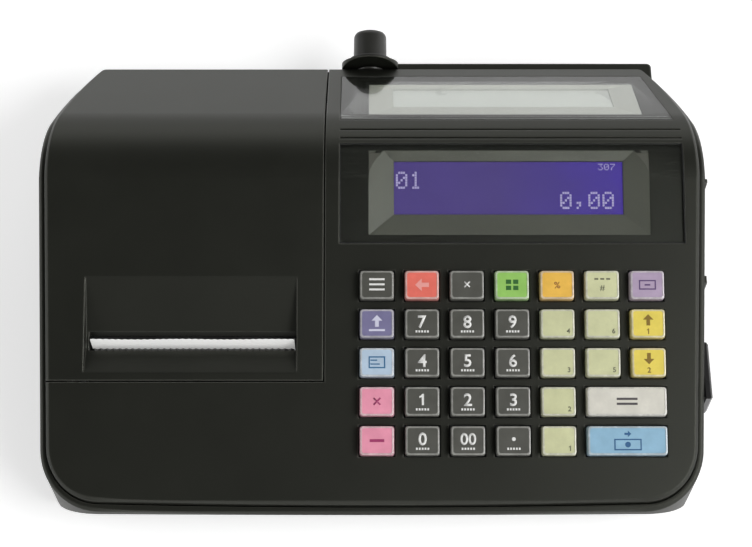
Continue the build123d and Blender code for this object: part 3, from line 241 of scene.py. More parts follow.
class Finish(Nodes):
    """One material's node tree around a Principled shader."""

    def __init__(self, name):
        self.material = bpy.data.materials.new(name)
        self.material.use_nodes = True
        super().__init__(self.material.node_tree)
        self.shader = next(n for n in self.nodes if n.type == "BSDF_PRINCIPLED")
        self.output = next(n for n in self.nodes if n.type == "OUTPUT_MATERIAL")
        self.place = self.node("ShaderNodeTexCoord").outputs["Object"]
        self.normal = None

    def set(self, **values):
        """Plain values or links for the shader's own sockets."""
        for key, value in values.items():
            self.feed(self.shader.inputs[key.replace("_", " ").title().replace("Ior", "IOR")],
                      value)

    def stretched(self, x, y, z):
        """Object coordinates scaled by axis."""
        return self.node("ShaderNodeMapping", vector=self.place,
                         scale=(x, y, z)).outputs["Vector"]

    def noise(self, size, detail=3.0, roughness=0.55, place=None):
        """Noise from 0 to 1 whose features are about one size."""
        made = self.node("ShaderNodeTexNoise", scale=1.0 / size, detail=detail,
                         roughness=roughness)
        self.links.new(place or self.place, made.inputs["Vector"])
        return made.outputs["Fac"]

    def blend(self, factor, first, second):
        """Colour between two colours."""
        made = self.node("ShaderNodeMix", data_type="RGBA")
        self.feed(made.inputs[0], factor)
        self.feed(made.inputs[6], first)
        self.feed(made.inputs[7], second)
        return made.outputs[2]

    def mottled(self, pattern, base, dark, light):
        """Colour that runs with a pattern from a darker to a lighter tone of its base."""
        return self.blend(self.between(pattern, 0.0, 1.0), shade(base, dark), shade(base, light))

    def soften(self, radius, samples=6):
        """Rounds the look of sharp edges."""
        self.normal = self.node("ShaderNodeBevel", samples=samples,
                                radius=radius).outputs["Normal"]

    def bump(self, height, depth, strength=1.0):
        """Adds relief, depth metres high, on what the normal already holds."""
        made = self.node("ShaderNodeBump", strength=strength, distance=depth)
        self.feed(made.inputs["Height"], height)
        if self.normal is not None:
            self.links.new(self.normal, made.inputs["Normal"])
        self.normal = made.outputs["Normal"]

    def done(self):
        """Connects the relief and returns the material."""
        if self.normal is not None:
            self.links.new(self.normal, self.shader.inputs["Normal"])
        return self.material


def shade(base, factor):
    """Colour made darker or lighter."""
    return tuple(min(1.0, c * factor) for c in base)


EDGE_HIGHLIGHT = colour("74746d")      # painted highlight along the moulded edges
CREASE_REACH = 2.5 * MM        # how far into the open the painted crease shade reaches


def moulded_plastic(name, base, grain, edge, roughness=0.42):
    """Fine-grained dark plastic with a painted highlight on its edges and painted shade in its
    creases.
    """
    made = Finish(name)
    clouds = made.noise(0.03, 4.0)
    fine = made.noise(grain, 2.0, 0.6)
    base_colour = made.blend(made.between(fine, 0.0, 0.3),
                             made.mottled(clouds, base, 0.86, 1.16), shade(base, 1.5))
    made.soften(edge)
    open_air = made.node("ShaderNodeAmbientOcclusion", samples=6, distance=CREASE_REACH)
    openness = made.between(open_air.outputs["AO"], 0.0, 1.0, 0.25, 0.8)
    turned = made.node("ShaderNodeVectorMath", operation="DOT_PRODUCT")
    made.feed(turned.inputs[0], made.normal)
    made.feed(turned.inputs[1], made.node("ShaderNodeNewGeometry").outputs["True Normal"])
    # Painted highlight: where the softened normal turns away from the true one, the colour runs
    # towards a pale grey, except in creases.
    edge_highlight = made.math("MULTIPLY", made.between(turned.outputs["Value"], 0.6, 0.0, 0.78, 0.92),
                       openness)
    base_colour = made.blend(edge_highlight, base_colour, EDGE_HIGHLIGHT)
    # Painted shade: ambient occlusion darkens the colour in creases and gaps down to a quarter of
    # the base.
    base_colour = made.blend(openness, shade(base, 0.25), base_colour)
    edge_roughness = made.between(edge_highlight, roughness, 0.2, 0.0, 0.4)
    made.set(base_color=base_colour, roughness=made.between(clouds, edge_roughness, 0.48, 0.3, 1.6),
             specular_ior_level=0.46, specular_tint=(0.98, 1.0, 0.88))
    made.bump(fine, 0.00004, 0.5)
    return made.done()


def smooth_plastic(name, base, roughness, coat=0.0, edge=0.0003):
    """Plain glossy or satin plastic with faint flow marks."""
    made = Finish(name)
    flow = made.noise(0.02, 3.0, place=made.stretched(1.0, 0.35, 1.0))
    made.set(base_color=made.mottled(flow, base, 0.93, 1.05),
             roughness=made.between(flow, roughness - 0.03, roughness + 0.05),
             coat_weight=coat, coat_roughness=0.06)
    made.soften(edge)
    made.bump(made.noise(0.0012, 2.0), 0.00001, 0.3)
    return made.done()


def rubber(name, base, roughness=0.7, grain=0.0006):
    """Matte rubber with a dusty bloom."""
    made = Finish(name)
    bloom = made.noise(0.012, 5.0, 0.65)
    made.set(base_color=made.mottled(bloom, base, 0.8, 1.35),
             roughness=made.between(bloom, roughness - 0.08, roughness + 0.1),
             sheen_weight=0.15)
    made.soften(0.0004)
    made.bump(made.noise(grain, 3.0), 0.00003, 0.5)
    return made.done()


def brushed_steel(name, base, roughness=0.3, along=(0.02, 1.0, 1.0)):
    """Steel with brush marks along one axis."""
    made = Finish(name)
    marks = made.noise(0.0004, 3.0, 0.6, made.stretched(*along))
    stain = made.noise(0.015, 3.0)
    made.set(base_color=made.blend(made.between(stain, 0.0, 0.25),
                                   made.mottled(marks, base, 0.8, 1.12), shade(base, 0.7)),
             roughness=made.between(marks, roughness - 0.08, roughness + 0.12), metallic=1.0)
    made.soften(0.00015)
    made.bump(marks, 0.000006, 0.4)
    return made.done()


def clear_lens():
    """Clear acrylic with faint wiping marks; lamps reach what lies behind it."""
    made = Finish("clear acrylic")
    wipe = made.noise(0.03, 2.0, 0.5)
    made.set(base_color=(0.93, 0.95, 0.93), roughness=made.between(wipe, 0.03, 0.045),
             transmission_weight=1.0, ior=1.49)
    path = made.node("ShaderNodeLightPath")
    through = made.node("ShaderNodeBsdfTransparent")
    made.feed(through.inputs["Color"], (0.93, 0.95, 0.93))
    either = made.node("ShaderNodeMixShader")
    for number, source in enumerate((path.outputs["Is Shadow Ray"], made.shader.outputs[0],
                                     through.outputs[0])):
        made.feed(either.inputs[number], source)
    made.feed(made.output.inputs["Surface"], either.outputs[0])
    return made.done()


def lit_display(settings):
    """Lit display: deep violet, bluer towards its lamp, with a faint grid of cells."""
    made = Finish("lit display")
    split = made.node("ShaderNodeSeparateXYZ", vector=made.place)
    run = made.between(split.outputs["X"], 0.0, 1.0, 0.05, 0.1)
    clouds = made.noise(0.02, 2.0)
    glow = made.blend(run, tuple(settings.glow), tuple(settings.glow_right))
    glow = made.blend(made.between(clouds, 0.0, 0.35), glow, shade(settings.glow, 0.72))
    made.set(base_color=(0.01, 0.01, 0.02), emission_color=glow, emission_strength=1.0,
             roughness=0.25)
    made.bump(clouds, 0.00001, 0.2)
    return made.done()


def display_dots(settings):
    """Pale dots of the display."""
    made = Finish("display dots")
    made.set(base_color=(0.05, 0.05, 0.06), emission_strength=0.9, roughness=0.5,
             emission_color=made.mottled(made.noise(0.004, 2.0), settings.dots, 0.85, 1.0))
    return made.done()


def paper_finish():
    """White thermal paper with short fibres and a painted glow that brightens it."""
    made = Finish("thermal paper")
    fibres = made.noise(0.0007, 4.0, 0.65, made.stretched(1.0, 0.4, 0.4))
    tone = made.noise(0.02, 2.0)
    base_colour = made.blend(made.between(fibres, 0.0, 1.0), (0.90, 0.90, 0.88),
                             (0.96, 0.96, 0.94))
    base_colour = made.blend(made.between(tone, 0.0, 0.3), base_colour, (0.86, 0.87, 0.88))
    # Painted glow: emission in the paper's own colour lifts it out of the shade of its slot.
    made.set(base_color=base_colour, emission_color=base_colour, emission_strength=0.3,
             roughness=made.between(fibres, 0.5, 0.65))
    made.bump(fibres, 0.00001, 0.4)
    return made.done()


def rolled_paper(axis_y, axis_z):
    """Paper roll: fine layers on its ends, wound round its own axis."""
    made = Finish("rolled paper")
    split = made.node("ShaderNodeSeparateXYZ", vector=made.place)
    away = made.node("ShaderNodeCombineXYZ")
    for channel, offset in (("Y", axis_y), ("Z", axis_z)):
        made.feed(away.inputs[channel], made.math("SUBTRACT", split.outputs[channel], offset))
    radius = made.node("ShaderNodeVectorMath", operation="LENGTH")
    made.feed(radius.inputs[0], away.outputs[0])
    layers = made.noise(0.0004, 2.0, 0.5, radius.outputs["Value"])
    base_colour = made.blend(made.between(layers, 0.0, 1.0), (0.68, 0.67, 0.65),
                             (0.84, 0.84, 0.82))
    made.set(base_color=base_colour, roughness=0.6)
    made.soften(0.0004)
    made.bump(layers, 0.00003, 0.5)
    return made.done()


def circuit_board(name):
    """Green solder mask over copper tracks."""
    made = Finish(name)
    tracks = made.node("ShaderNodeTexBrick")
    for key, value in (("Vector", made.stretched(260.0, 260.0, 260.0)),
                       ("Color1", (0.012, 0.09, 0.035)), ("Color2", (0.02, 0.13, 0.05)),
                       ("Mortar", (0.05, 0.2, 0.08)), ("Mortar Size", 0.03)):
        made.feed(tracks.inputs[key], value)
    clouds = made.noise(0.004, 2.0)
    made.set(base_color=made.blend(made.between(clouds, 0.0, 0.4), tracks.outputs["Color"],
                                   (0.015, 0.1, 0.04)),
             roughness=made.between(clouds, 0.3, 0.45))
    made.soften(0.0002)
    made.bump(tracks.outputs["Fac"], 0.00003, 0.4)
    return made.done()


# ---------------------------------------------------------------- shapes
def linked(name, data):
    """Object of a mesh, curve, lamp or camera, in the scene."""
    made = bpy.data.objects.new(name, data)
    bpy.context.collection.objects.link(made)
    return made


def built(obj):
    """Plain mesh of what an object's modifiers or curve come to."""
    shown = obj.evaluated_get(bpy.context.evaluated_depsgraph_get())
    return bpy.data.meshes.new_from_object(shown)


def keep_built(obj):
    """Gives an object the result of its modifiers as its own mesh."""
    mesh = built(obj)
    obj.modifiers.clear()
    obj.data = mesh


def from_bmesh(name, work, material, place):
    """Object of a finished bmesh, moved to a place."""
    mesh = bpy.data.meshes.new(name)
    work.to_mesh(mesh)
    work.free()
    mesh.transform(place)
    mesh.materials.append(material)
    return linked(name, mesh)


def mesh_object(name, vertices, faces, materials=()):
    """Object from points and faces."""
    mesh = bpy.data.meshes.new(name)
    mesh.from_pydata([tuple(v) for v in vertices], [], faces)
    mesh.validate()
    for material in materials:
        mesh.materials.append(material)
    return linked(name, mesh)


def tidy(obj, flat_angle=35.0):
    """Merges doubled points, turns faces outwards and smooths gentle angles."""
    work = bmesh.new()
    work.from_mesh(obj.data)
    bmesh.ops.remove_doubles(work, verts=work.verts, dist=1e-6)
    bmesh.ops.recalc_face_normals(work, faces=work.faces)
    limit = math.radians(flat_angle)
    for face in work.faces:
        face.smooth = True
    for edge in work.edges:
        edge.smooth = edge.calc_face_angle(0.0) < limit
    work.to_mesh(obj.data)
    work.free()
    return obj


def lathe(name, profile, place, material, segments):
    """Solid turned round a place's Z axis from (radius, height) in millimetres, low to high."""
    work = bmesh.new()
    points = [work.verts.new((radius * MM, 0.0, height * MM)) for radius, height in profile]
    edges = [work.edges.new(pair) for pair in zip(points, points[1:])]
    bmesh.ops.spin(work, geom=points + edges, cent=(0, 0, 0), axis=(0, 0, 1),
                   angle=math.tau, steps=segments, use_duplicate=False)
    bmesh.ops.remove_doubles(work, verts=work.verts, dist=1e-6)
    return tidy(from_bmesh(name, work, material, place))


def plate(corners, thickness):
    """Points and faces of a flat plate above the given outline."""
    count = len(corners)
    vertices = [(x, y, 0.0) for x, y in corners] + [(x, y, thickness) for x, y in corners]
    faces = [tuple(reversed(range(count))), tuple(range(count, 2 * count))]
    faces += [(i, (i + 1) % count, count + (i + 1) % count, count + i) for i in range(count)]
    return vertices, faces


def rectangle(x, y, width, height):
    """Outline of a rectangle about a centre."""
    return [(x - width / 2, y - height / 2), (x + width / 2, y - height / 2),
            (x + width / 2, y + height / 2), (x - width / 2, y + height / 2)]


def join_flat(name, outlines, thickness, place, material):
    """One object from several flat plates."""
    vertices, faces = [], []
    for outline in outlines:
        more, sides = plate(outline, thickness)
        start = len(vertices)
        vertices += [place @ Vector(v) for v in more]
        faces += [tuple(start + i for i in side) for side in sides]
    return mesh_object(name, vertices, faces, [material])


# ---------------------------------------------------------------- node trees for repeats
class Tree(Nodes):
    """Geometry node tree with named inputs."""

    def __init__(self, name, inputs):
        self.tree = bpy.data.node_groups.new(name, "GeometryNodeTree")
        super().__init__(self.tree)
        face = self.tree.interface
        face.new_socket("Geometry", in_out="INPUT", socket_type="NodeSocketGeometry")
        for label, kind, value in inputs:
            made = face.new_socket(label, in_out="INPUT", socket_type="NodeSocket" + kind)
            if value is not None:
                made.default_value = value
        face.new_socket("Geometry", in_out="OUTPUT", socket_type="NodeSocketGeometry")
        self.inputs = self.step("NodeGroupInput").outputs
        self.output = self.step("NodeGroupOutput").inputs[0]

    def step(self, kind, feeds=None, **properties):
        """New node; feeds go to its inputs by name or number."""
        made = self.nodes.new(kind)
        for key, value in properties.items():
            setattr(made, key, value)
        for key, value in (feeds or {}).items():
            self.feed(made.inputs[key], value)
        return made

    def paint(self, geometry, material, chosen=True):
        """Gives the chosen faces a material."""
        return self.step("GeometryNodeSetMaterial", {
            "Geometry": geometry, "Selection": chosen, "Material": material}).outputs[0]


def run_tree(name, tree, values, source=None):
    """Plain mesh of a tree's result."""
    holder = linked(name + " start", source or bpy.data.meshes.new(name + " start"))
    modifier = holder.modifiers.new("Build", "NODES")
    modifier.node_group = tree.tree
    sockets = {item.name: item.identifier for item in tree.tree.interface.items_tree
               if item.item_type == "SOCKET" and item.in_out == "INPUT"}
    for label, value in values.items():
        modifier[sockets[label]] = value
    bpy.context.view_layer.update()
    result = built(holder)
    result.name = name
    holder.modifiers.clear()
    bpy.data.objects.remove(holder)
    return linked(name, result)


INSERT_STEP = 0.12 * MM        # the printed card lies this far below the cap's rim


def cap_tree():
    """Tree of a key cap: rounded outlines stacked from the hollow's ceiling to the insert."""
    tree = Tree("Key cap", [
        ("Width", "Float", 0.0135), ("Length", "Float", 0.0116), ("Corner", "Float", 0.0011),
        ("Height", "Float", 0.004), ("Foot", "Float", -0.0037), ("Ceiling", "Float", 0.0024),
        ("Wall", "Float", 0.0012), ("Draft", "Float", 0.0003), ("Edge", "Float", 0.0003),
        ("Rim", "Float", 0.0004), ("Step", "Float", INSERT_STEP),
        ("Side Material", "Material", None), ("Rim Material", "Material", None),
        ("Insert Material", "Material", None)])
    get = tree.inputs
    outline = tree.step("GeometryNodeCurvePrimitiveQuadrilateral",
                        {"Width": get["Width"], "Height": get["Length"]})
    rounded = tree.step("GeometryNodeFilletCurve", {
        "Curve": outline.outputs[0], "Radius": get["Corner"], "Count": 4}, mode="POLY")
    filled = tree.step("GeometryNodeFillCurve", {0: rounded.outputs[0]}, mode="NGONS")
    store = tree.step("GeometryNodeCaptureAttribute", domain="POINT")
    store.capture_items.new("VECTOR", "Outline")
    tree.feed(store.inputs[0], filled.outputs[0])
    tree.feed(store.inputs[1], tree.step("GeometryNodeInputPosition").outputs[0])

    def placed(geometry, inset, height, chosen=True):
        """Moves the chosen points to the outline moved in by inset, at a height."""
        scale = tree.step("ShaderNodeCombineXYZ")
        for axis, size in (("X", "Width"), ("Y", "Length")):
            share = tree.math("DIVIDE", tree.math("MULTIPLY", inset, 2.0), get[size])
            tree.feed(scale.inputs[axis], tree.math("SUBTRACT", 1.0, share))
        scaled = tree.step("ShaderNodeVectorMath", {0: store.outputs[1], 1: scale.outputs[0]},
                           operation="MULTIPLY")
        lift = tree.step("ShaderNodeCombineXYZ", {"Z": height})
        total = tree.step("ShaderNodeVectorMath", {0: scaled.outputs[0], 1: lift.outputs[0]},
                          operation="ADD")
        return tree.step("GeometryNodeSetPosition", {
            "Geometry": geometry, "Selection": chosen, "Position": total.outputs[0]}).outputs[0]

    inset_edge = tree.math("ADD", get["Draft"], get["Edge"])
    inset_rim = tree.math("ADD", inset_edge, get["Rim"])
    below_edge = tree.math("SUBTRACT", get["Height"], get["Edge"])
    part_edge = tree.math("MULTIPLY", get["Edge"], 0.3)
    insert_height = tree.math("SUBTRACT", get["Height"], get["Step"])
    rings = (
        (get["Wall"], get["Foot"], "Side Material"),
        (0.0, get["Foot"], "Side Material"),
        (0.0, 0.0, "Side Material"),
        (get["Draft"], below_edge, "Side Material"),
        (tree.math("ADD", get["Draft"], part_edge),
         tree.math("SUBTRACT", get["Height"], part_edge), "Rim Material"),
        (inset_edge, get["Height"], "Rim Material"),
        (inset_rim, get["Height"], "Rim Material"),
        (inset_rim, insert_height, "Rim Material"),
    )
    ceiling = placed(store.outputs[0], get["Wall"], get["Ceiling"])
    stack, top, sides = ceiling, True, []
    for inset, height, label in rings:
        extrude = tree.step("GeometryNodeExtrudeMesh", {
            "Mesh": stack, "Selection": top, "Offset Scale": 0.0, "Individual": False},
            mode="FACES")
        top = extrude.outputs["Top"]
        sides.append((extrude.outputs["Side"], label))
        stack = placed(extrude.outputs["Mesh"], inset, height, top)
    for chosen, label in [*sides, (top, "Insert Material")]:
        stack = tree.paint(stack, get[label], chosen)
    both = tree.step("GeometryNodeJoinGeometry")
    for part in (tree.paint(ceiling, get["Side Material"]), stack):
        tree.feed(both.inputs[0], part)
    weld = tree.step("GeometryNodeMergeByDistance",
                     {"Geometry": both.outputs[0], "Distance": 0.000002})
    whole = tree.step("GeometryNodeRealizeInstances", {0: weld.outputs[0]})
    tree.feed(tree.output, whole.outputs[0])
    return tree


def copies_tree():
    """Tree that puts a copy of one object on each point of a mesh."""
    tree = Tree("Copies on points", [
        ("Copy", "Object", None), ("Scale", "Float", 1.0), ("Turn", "Rotation", None),
        ("Material", "Material", None)])
    get = tree.inputs
    info = tree.step("GeometryNodeObjectInfo", {"Object": get["Copy"]},
                     transform_space="ORIGINAL")
    spread = tree.step("GeometryNodeInstanceOnPoints", {
        "Points": get["Geometry"], "Instance": info.outputs["Geometry"],
        "Rotation": get["Turn"], "Scale": get["Scale"]})
    whole = tree.step("GeometryNodeRealizeInstances", {0: spread.outputs[0]})
    tree.feed(tree.output, tree.paint(whole.outputs[0], get["Material"]))
    return tree


def spread_copies(name, points, copy, turn, material):
    """Copies of a small object on points, as one plain mesh that rides the base."""
    mesh = bpy.data.meshes.new(name + " points")
    mesh.from_pydata([tuple(p) for p in points], [], [])
    made = run_tree(name, shared("copies", copies_tree),
                    {"Copy": copy, "Scale": 1.0, "Turn": turn, "Material": material}, mesh)
    bpy.data.objects.remove(copy)
    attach(made, "base")
    return made


MADE = {}


def shared(name, build):
    """Tree or material that is built once."""
    if name not in MADE:
        MADE[name] = build()
    return MADE[name]


# ---------------------------------------------------------------- key layout and legends
KEY_PITCH_X = 17.5 * MM
KEY_PITCH_T = 15.07 * MM
FIRST_KEY_X = 1.9 * MM
FIRST_KEY_T = 23.1 * MM
KEY_COLUMNS = 7
KEY_ROWS = (
    ("key_void", "key_0", "key_00", "key_point", "key_group_1", "key_cash"),
    ("key_cancel", "key_1", "key_2", "key_3", "key_group_2", "key_subtotal"),
    ("key_client", "key_4", "key_5", "key_6", "key_group_3", "key_group_5", "key_payment_2"),
    ("key_paper_feed", "key_7", "key_8", "key_9", "key_group_4", "key_group_6", "key_payment_1"),
    ("key_menu", "key_clear", "key_multiply", "key_item", "key_percent", "key_shift",
     "key_drawer"),
)
KEY_COLOURS = {
    "key_void": "pink", "key_cancel": "pink", "key_client": "sky", "key_cash": "blue",
    "key_subtotal": "white", "key_payment_1": "yellow", "key_payment_2": "yellow",
    "key_paper_feed": "violet", "key_clear": "red", "key_item": "green",
    "key_percent": "orange", "key_shift": "pale", "key_drawer": "lavender",
}
INKS = {
    "dark": "f1f1ee", "pink": "a8376b", "sky": "2f6f9c", "blue": "2b5f8e", "white": "4e4a4b",
    "yellow": "8a6d1d", "violet": "dcdcf0", "red": "f6a7a0", "green": "2f6a2a",
    "orange": "8a4a12", "pale": "70725a", "lavender": "5d4475",
}


def bar(x, y, width, height):
    """Legend part: a bar."""
    return "outline", rectangle(x, y, width, height)


def arrow(x, y, size, turn=0.0):
    """Legend part: an arrow that points up before it is turned."""
    points = [(-0.16, -0.5), (0.16, -0.5), (0.16, 0.02), (0.46, 0.02), (0.0, 0.5),
              (-0.46, 0.02), (-0.16, 0.02)]
    cos, sin = math.cos(turn), math.sin(turn)
    return "outline", [(x + size * (px * cos - py * sin), y + size * (px * sin + py * cos))
                       for px, py in points]


def box_lines(x, y, width, height, line):
    """Legend parts: the four sides of a box."""
    return [bar(x, y + height / 2 - line / 2, width, line),
            bar(x, y - height / 2 + line / 2, width, line),
            bar(x - width / 2 + line / 2, y, line, height - 2 * line),
            bar(x + width / 2 - line / 2, y, line, height - 2 * line)]


def one(x, y, height):
    """Legend part: the figure 1."""
    points = [(-0.06, -0.5), (0.13, -0.5), (0.13, 0.5), (-0.03, 0.5), (-0.1, 0.38),
              (-0.27, 0.29), (-0.27, 0.13), (-0.06, 0.2)]
    return "outline", [(x + height * px, y + height * py) for px, py in points]


def words(text, x, y, size, heavy=0.02):
    """Legend part: figures or a sign."""
    return "text", text, x, y, size, heavy


def disc(x, y, radius):
    """Legend part: a round spot."""
    return "outline", [(x + radius * math.cos(math.tau * i / 20),
                        y + radius * math.sin(math.tau * i / 20)) for i in range(20)]


def legend_parts(name):
    """What is printed on a key's insert, in millimetres from its middle."""
    small = [bar(dx, -3.1, 0.7, 0.85) for dx in (-2.2, -1.1, 0.0, 1.1, 2.2)]
    figure = name.rsplit("_", 1)[-1]
    if name == "key_00":
        return [words("00", 0, 0.65, 6.2, 0.12), *small]
    if name.startswith("key_group"):
        return [one(4.1, -2.9, 2.0) if figure == "1" else words(figure, 4.1, -2.9, 2.6, 0.06)]
    if name == "key_1":
        return [one(0, 0.7, 4.4), *small]
    if figure.isdigit() and name.count("_") == 1:
        return [words(figure, 0, 0.65, 6.7, 0.14), *small]
    return {
        "key_point": [disc(0, 0.6, 0.75), *small],
        "key_void": [bar(0, 0, 5.6, 1.1)],
        "key_cancel": [words("×", 0, 0, 7.0, 0.03)],
        "key_client": [*box_lines(0, 0, 6.4, 4.6, 0.5), bar(-1.2, 0.8, 2.6, 0.5),
                       bar(-0.7, -0.7, 3.6, 0.45)],
        "key_paper_feed": [arrow(0, 1.0, 4.6), bar(0, -2.6, 6.2, 0.8)],
        "key_menu": [bar(0, dy, 6.0, 0.75) for dy in (2.2, 0.2, -1.8)],
        "key_clear": [arrow(0, 0, 5.4, math.pi / 2)],
        "key_multiply": [words("×", 0, 0.2, 5.6, 0.02)],
        "key_item": [bar(dx, dy, 2.0, 1.7) for dx in (-1.4, 1.4) for dy in (-1.2, 1.2)],
        "key_percent": [words("%", 0, -0.1, 3.6, 0.02)],
        "key_shift": [words("#", 0, -1.3, 3.2, 0.02),
                      *[bar(dx, 2.3, 1.5, 0.7) for dx in (-2.3, 0.0, 2.3)]],
        "key_drawer": [*box_lines(0, 0, 6.6, 3.8, 0.5), bar(0, 0, 2.2, 0.6)],
        "key_subtotal": [bar(0, 0.95, 8.0, 0.85), bar(0, -0.95, 8.0, 0.85)],
        "key_cash": [arrow(0, 2.6, 2.6, -math.pi / 2), *box_lines(0, -1.5, 10.5, 4.4, 0.5),
                     disc(0, -1.5, 1.1)],
        "key_payment_1": [arrow(0, 1.4, 4.4), one(0, -3.0, 2.1)],
        "key_payment_2": [arrow(0, 1.4, 4.4, math.pi), words("2", 0, -3.0, 2.8, 0.06)],
    }[name]


def text_mesh(text, x, y, size, heavy):
    """Flat mesh of figures, centred on a point."""
    curve = bpy.data.curves.new("figures", "FONT")
    curve.body = text
    curve.size = size
    curve.offset = heavy
    curve.align_x = "CENTER"
    curve.align_y = "CENTER"
    curve.resolution_u = 4
    holder = linked("figures", curve)
    bpy.context.view_layer.update()
    mesh = built(holder)
    bpy.data.objects.remove(holder)
    points = [v.co for v in mesh.vertices]
    mid_x = (min(p.x for p in points) + max(p.x for p in points)) / 2
    mid_y = (min(p.y for p in points) + max(p.y for p in points)) / 2
    mesh.transform(Matrix.Translation((x - mid_x, y - mid_y, 0)))
    return mesh


INK_DEPTH = 0.05               # millimetres


def legend(name, parts, place, material, body):
    """Everything printed on one insert, as one thin object."""
    work = bmesh.new()
    for part in parts:
        if part[0] == "text":
            mesh = text_mesh(*part[1:])
            work.from_mesh(mesh)
            bpy.data.meshes.remove(mesh)
        else:
            work.faces.new([work.verts.new((px, py, 0.0)) for px, py in part[1]])
    bmesh.ops.remove_doubles(work, verts=work.verts, dist=1e-5)
    lifted = bmesh.ops.extrude_face_region(work, geom=work.faces[:])
    bmesh.ops.translate(work, vec=(0, 0, INK_DEPTH),
                        verts=[g for g in lifted["geom"] if isinstance(g, bmesh.types.BMVert)])
    bmesh.ops.recalc_face_normals(work, faces=work.faces)
    made = from_bmesh(name, work, material, place @ Matrix.Scale(MM, 4))
    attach(made, body)


def key_places():
    """Name, centre and width step of each key."""
    for row, names in enumerate(KEY_ROWS):
        for column, name in enumerate(names):
            x = FIRST_KEY_X + column * KEY_PITCH_X
            wide = len(names) < KEY_COLUMNS and column == len(names) - 1
            yield name, x + (KEY_PITCH_X / 2 if wide else 0), FIRST_KEY_T + row * KEY_PITCH_T, wide


def insert_finish(name, base):
    """Printed card under the clear cap."""
    made = Finish(name)
    fibres = made.noise(0.0009, 3.0)
    clouds = made.noise(0.006, 2.0)
    made.set(base_color=made.blend(made.between(fibres, 0.0, 0.25),
                                   made.mottled(clouds, base, 0.92, 1.06), shade(base, 0.85)),
             roughness=made.between(clouds, 0.34, 0.44), coat_weight=0.7, coat_roughness=0.08)
    made.bump(fibres, 0.000008, 0.3)
    return made.done()


def cap_edge_finish(name, base, roughness):
    """Clear plastic of a cap's edge, tinted by the card that it holds; its grey is partly a painted
    highlight.
    """
    made = Finish(name)
    clouds = made.noise(0.003, 2.0)
    made.set(base_color=made.mottled(clouds, base, 0.82, 1.15), coat_weight=0.5,
             coat_roughness=0.1, roughness=made.between(clouds, roughness, roughness + 0.1))
    made.soften(0.00015, 4)
    return made.done()


def mixed(first, second, share):
    """Colour between two colours."""
    return tuple(a + (b - a) * share for a, b in zip(first, second))


class REGISTER_OT_keys(bpy.types.Operator):
    """Build every key cap with its coloured insert and printed legend"""
    bl_idname = "register.keys"
    bl_label = "Keys"

    def execute(self, context):
        sizes = context.scene.register_keys
        inks = {}
        tree = shared("cap", cap_tree)
        for name, x, t, wide in key_places():
            tone = "pale" if name.startswith("key_group") else KEY_COLOURS.get(name, "dark")
            base = tuple(getattr(sizes, tone))
            if tone not in inks:
                # Side and rim blend the card towards a grey that is partly the clear plastic's tone
                # and partly a painted highlight, stronger on the rim.
                grey = (0.42, 0.42, 0.39) if tone == "dark" else (0.62, 0.61, 0.58)
                inks[tone] = (
                    cap_edge_finish(f"cap side {tone}", mixed(base, grey, 0.35), 0.3),
                    cap_edge_finish(f"cap rim {tone}", mixed(base, grey, 0.62), 0.2),
                    insert_finish(f"insert {tone}", base),
                    smooth_plastic(f"ink {tone}", colour(INKS[tone]), 0.45, 0.4, 0.0001))
            side, rim, card, ink = inks[tone]
            width = sizes.width + (KEY_PITCH_X if wide else 0.0)
            cap = run_tree(name + "_cap", tree, {
                "Width": width, "Length": sizes.length, "Corner": sizes.corner,
                "Height": sizes.height, "Side Material": side, "Rim Material": rim,
                "Insert Material": card})
            cap.data.transform(deck_place(x, t, 0))
            tidy(cap, flat_angle=30.0)
            body = name + "_body"
            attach(cap, body)
            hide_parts(name)
            legend(name + "_legend", legend_parts(name),
                   deck_place(x, t, sizes.height - INSERT_STEP), ink, body)
        return {"FINISHED"}


# ---------------------------------------------------------------- displays
DOTS = {
    "0": ("01110", "10001", "10011", "10101", "11001", "10001", "01110"),
    "1": ("00100", "01100", "00100", "00100", "00100", "00100", "01110"),
    "3": ("11111", "00010", "00100", "00010", "00001", "10001", "01110"),
    "7": ("11111", "00001", "00010", "00100", "01000", "01000", "01000"),
    ",": ("00000", "00000", "00000", "00000", "01100", "00100", "01000"),
}
WINDOW_LEFT = -1.3 * MM
WINDOW_RIGHT = 109.3 * MM
VIEW_X = 54.0 * MM
VIEW_WIDTH = 90.6 * MM
VIEW_LENGTH = 21.2 * MM
VIEW_T = 123.1 * MM
VIEW_LOW = -5.6 * MM
REAR_VIEW_U = 21.92 * MM
REAR_VIEW_LOW = -3.4 * MM
REAR_BEZEL_LOW = -2.55 * MM
REAR_WINDOW = (152.3 * MM, 180.3 * MM)     # customer's window, behind the lid's front edge
VIEW_SHEET = 0.05 * MM                     # thickness of the views and their dots
FILM_LENGTH = 11.4 * MM                    # corner films, along the crown
FILM_LEVELS = (-1.24 * MM, -1.29 * MM)
WALL_RUN = 10.0 / 3.4                      # bezel's end walls: run inwards for each unit of drop
# Outlines of the lenses, a little inside their edges, in millimetres from the lid's front, where a
# dark band of painted shade stands for the gap round each lens.
LENS_GAP_SHADES = {
    "operator_seam": [(-12.65, 95.45), (122.85, 95.45), (122.85, 134.95), (-12.65, 134.95)],
    "customer_seam": [(-12.65, 148.45), (120.72, 148.45), (113.95, 186.85), (-12.65, 186.85)],
}


def ring(name, loops, material):
    """Closed ring whose section runs through loops of as many points each."""
    count = len(loops[0])
    faces = []
    for number in range(len(loops)):
        start, following = number * count, (number + 1) % len(loops) * count
        for i in range(count):
            j = (i + 1) % count
            faces.append((start + i, start + j, following + j, following + i))
    made = mesh_object(name, [point for loop in loops for point in loop], faces, [material])
    tidy(made, flat_angle=5.0)
    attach(made, "base")


def bezel_finish(name, base):
    """Satin grey plastic of the slanted frame."""
    return smooth_plastic(name, base, 0.5, 0.0, 0.0002)


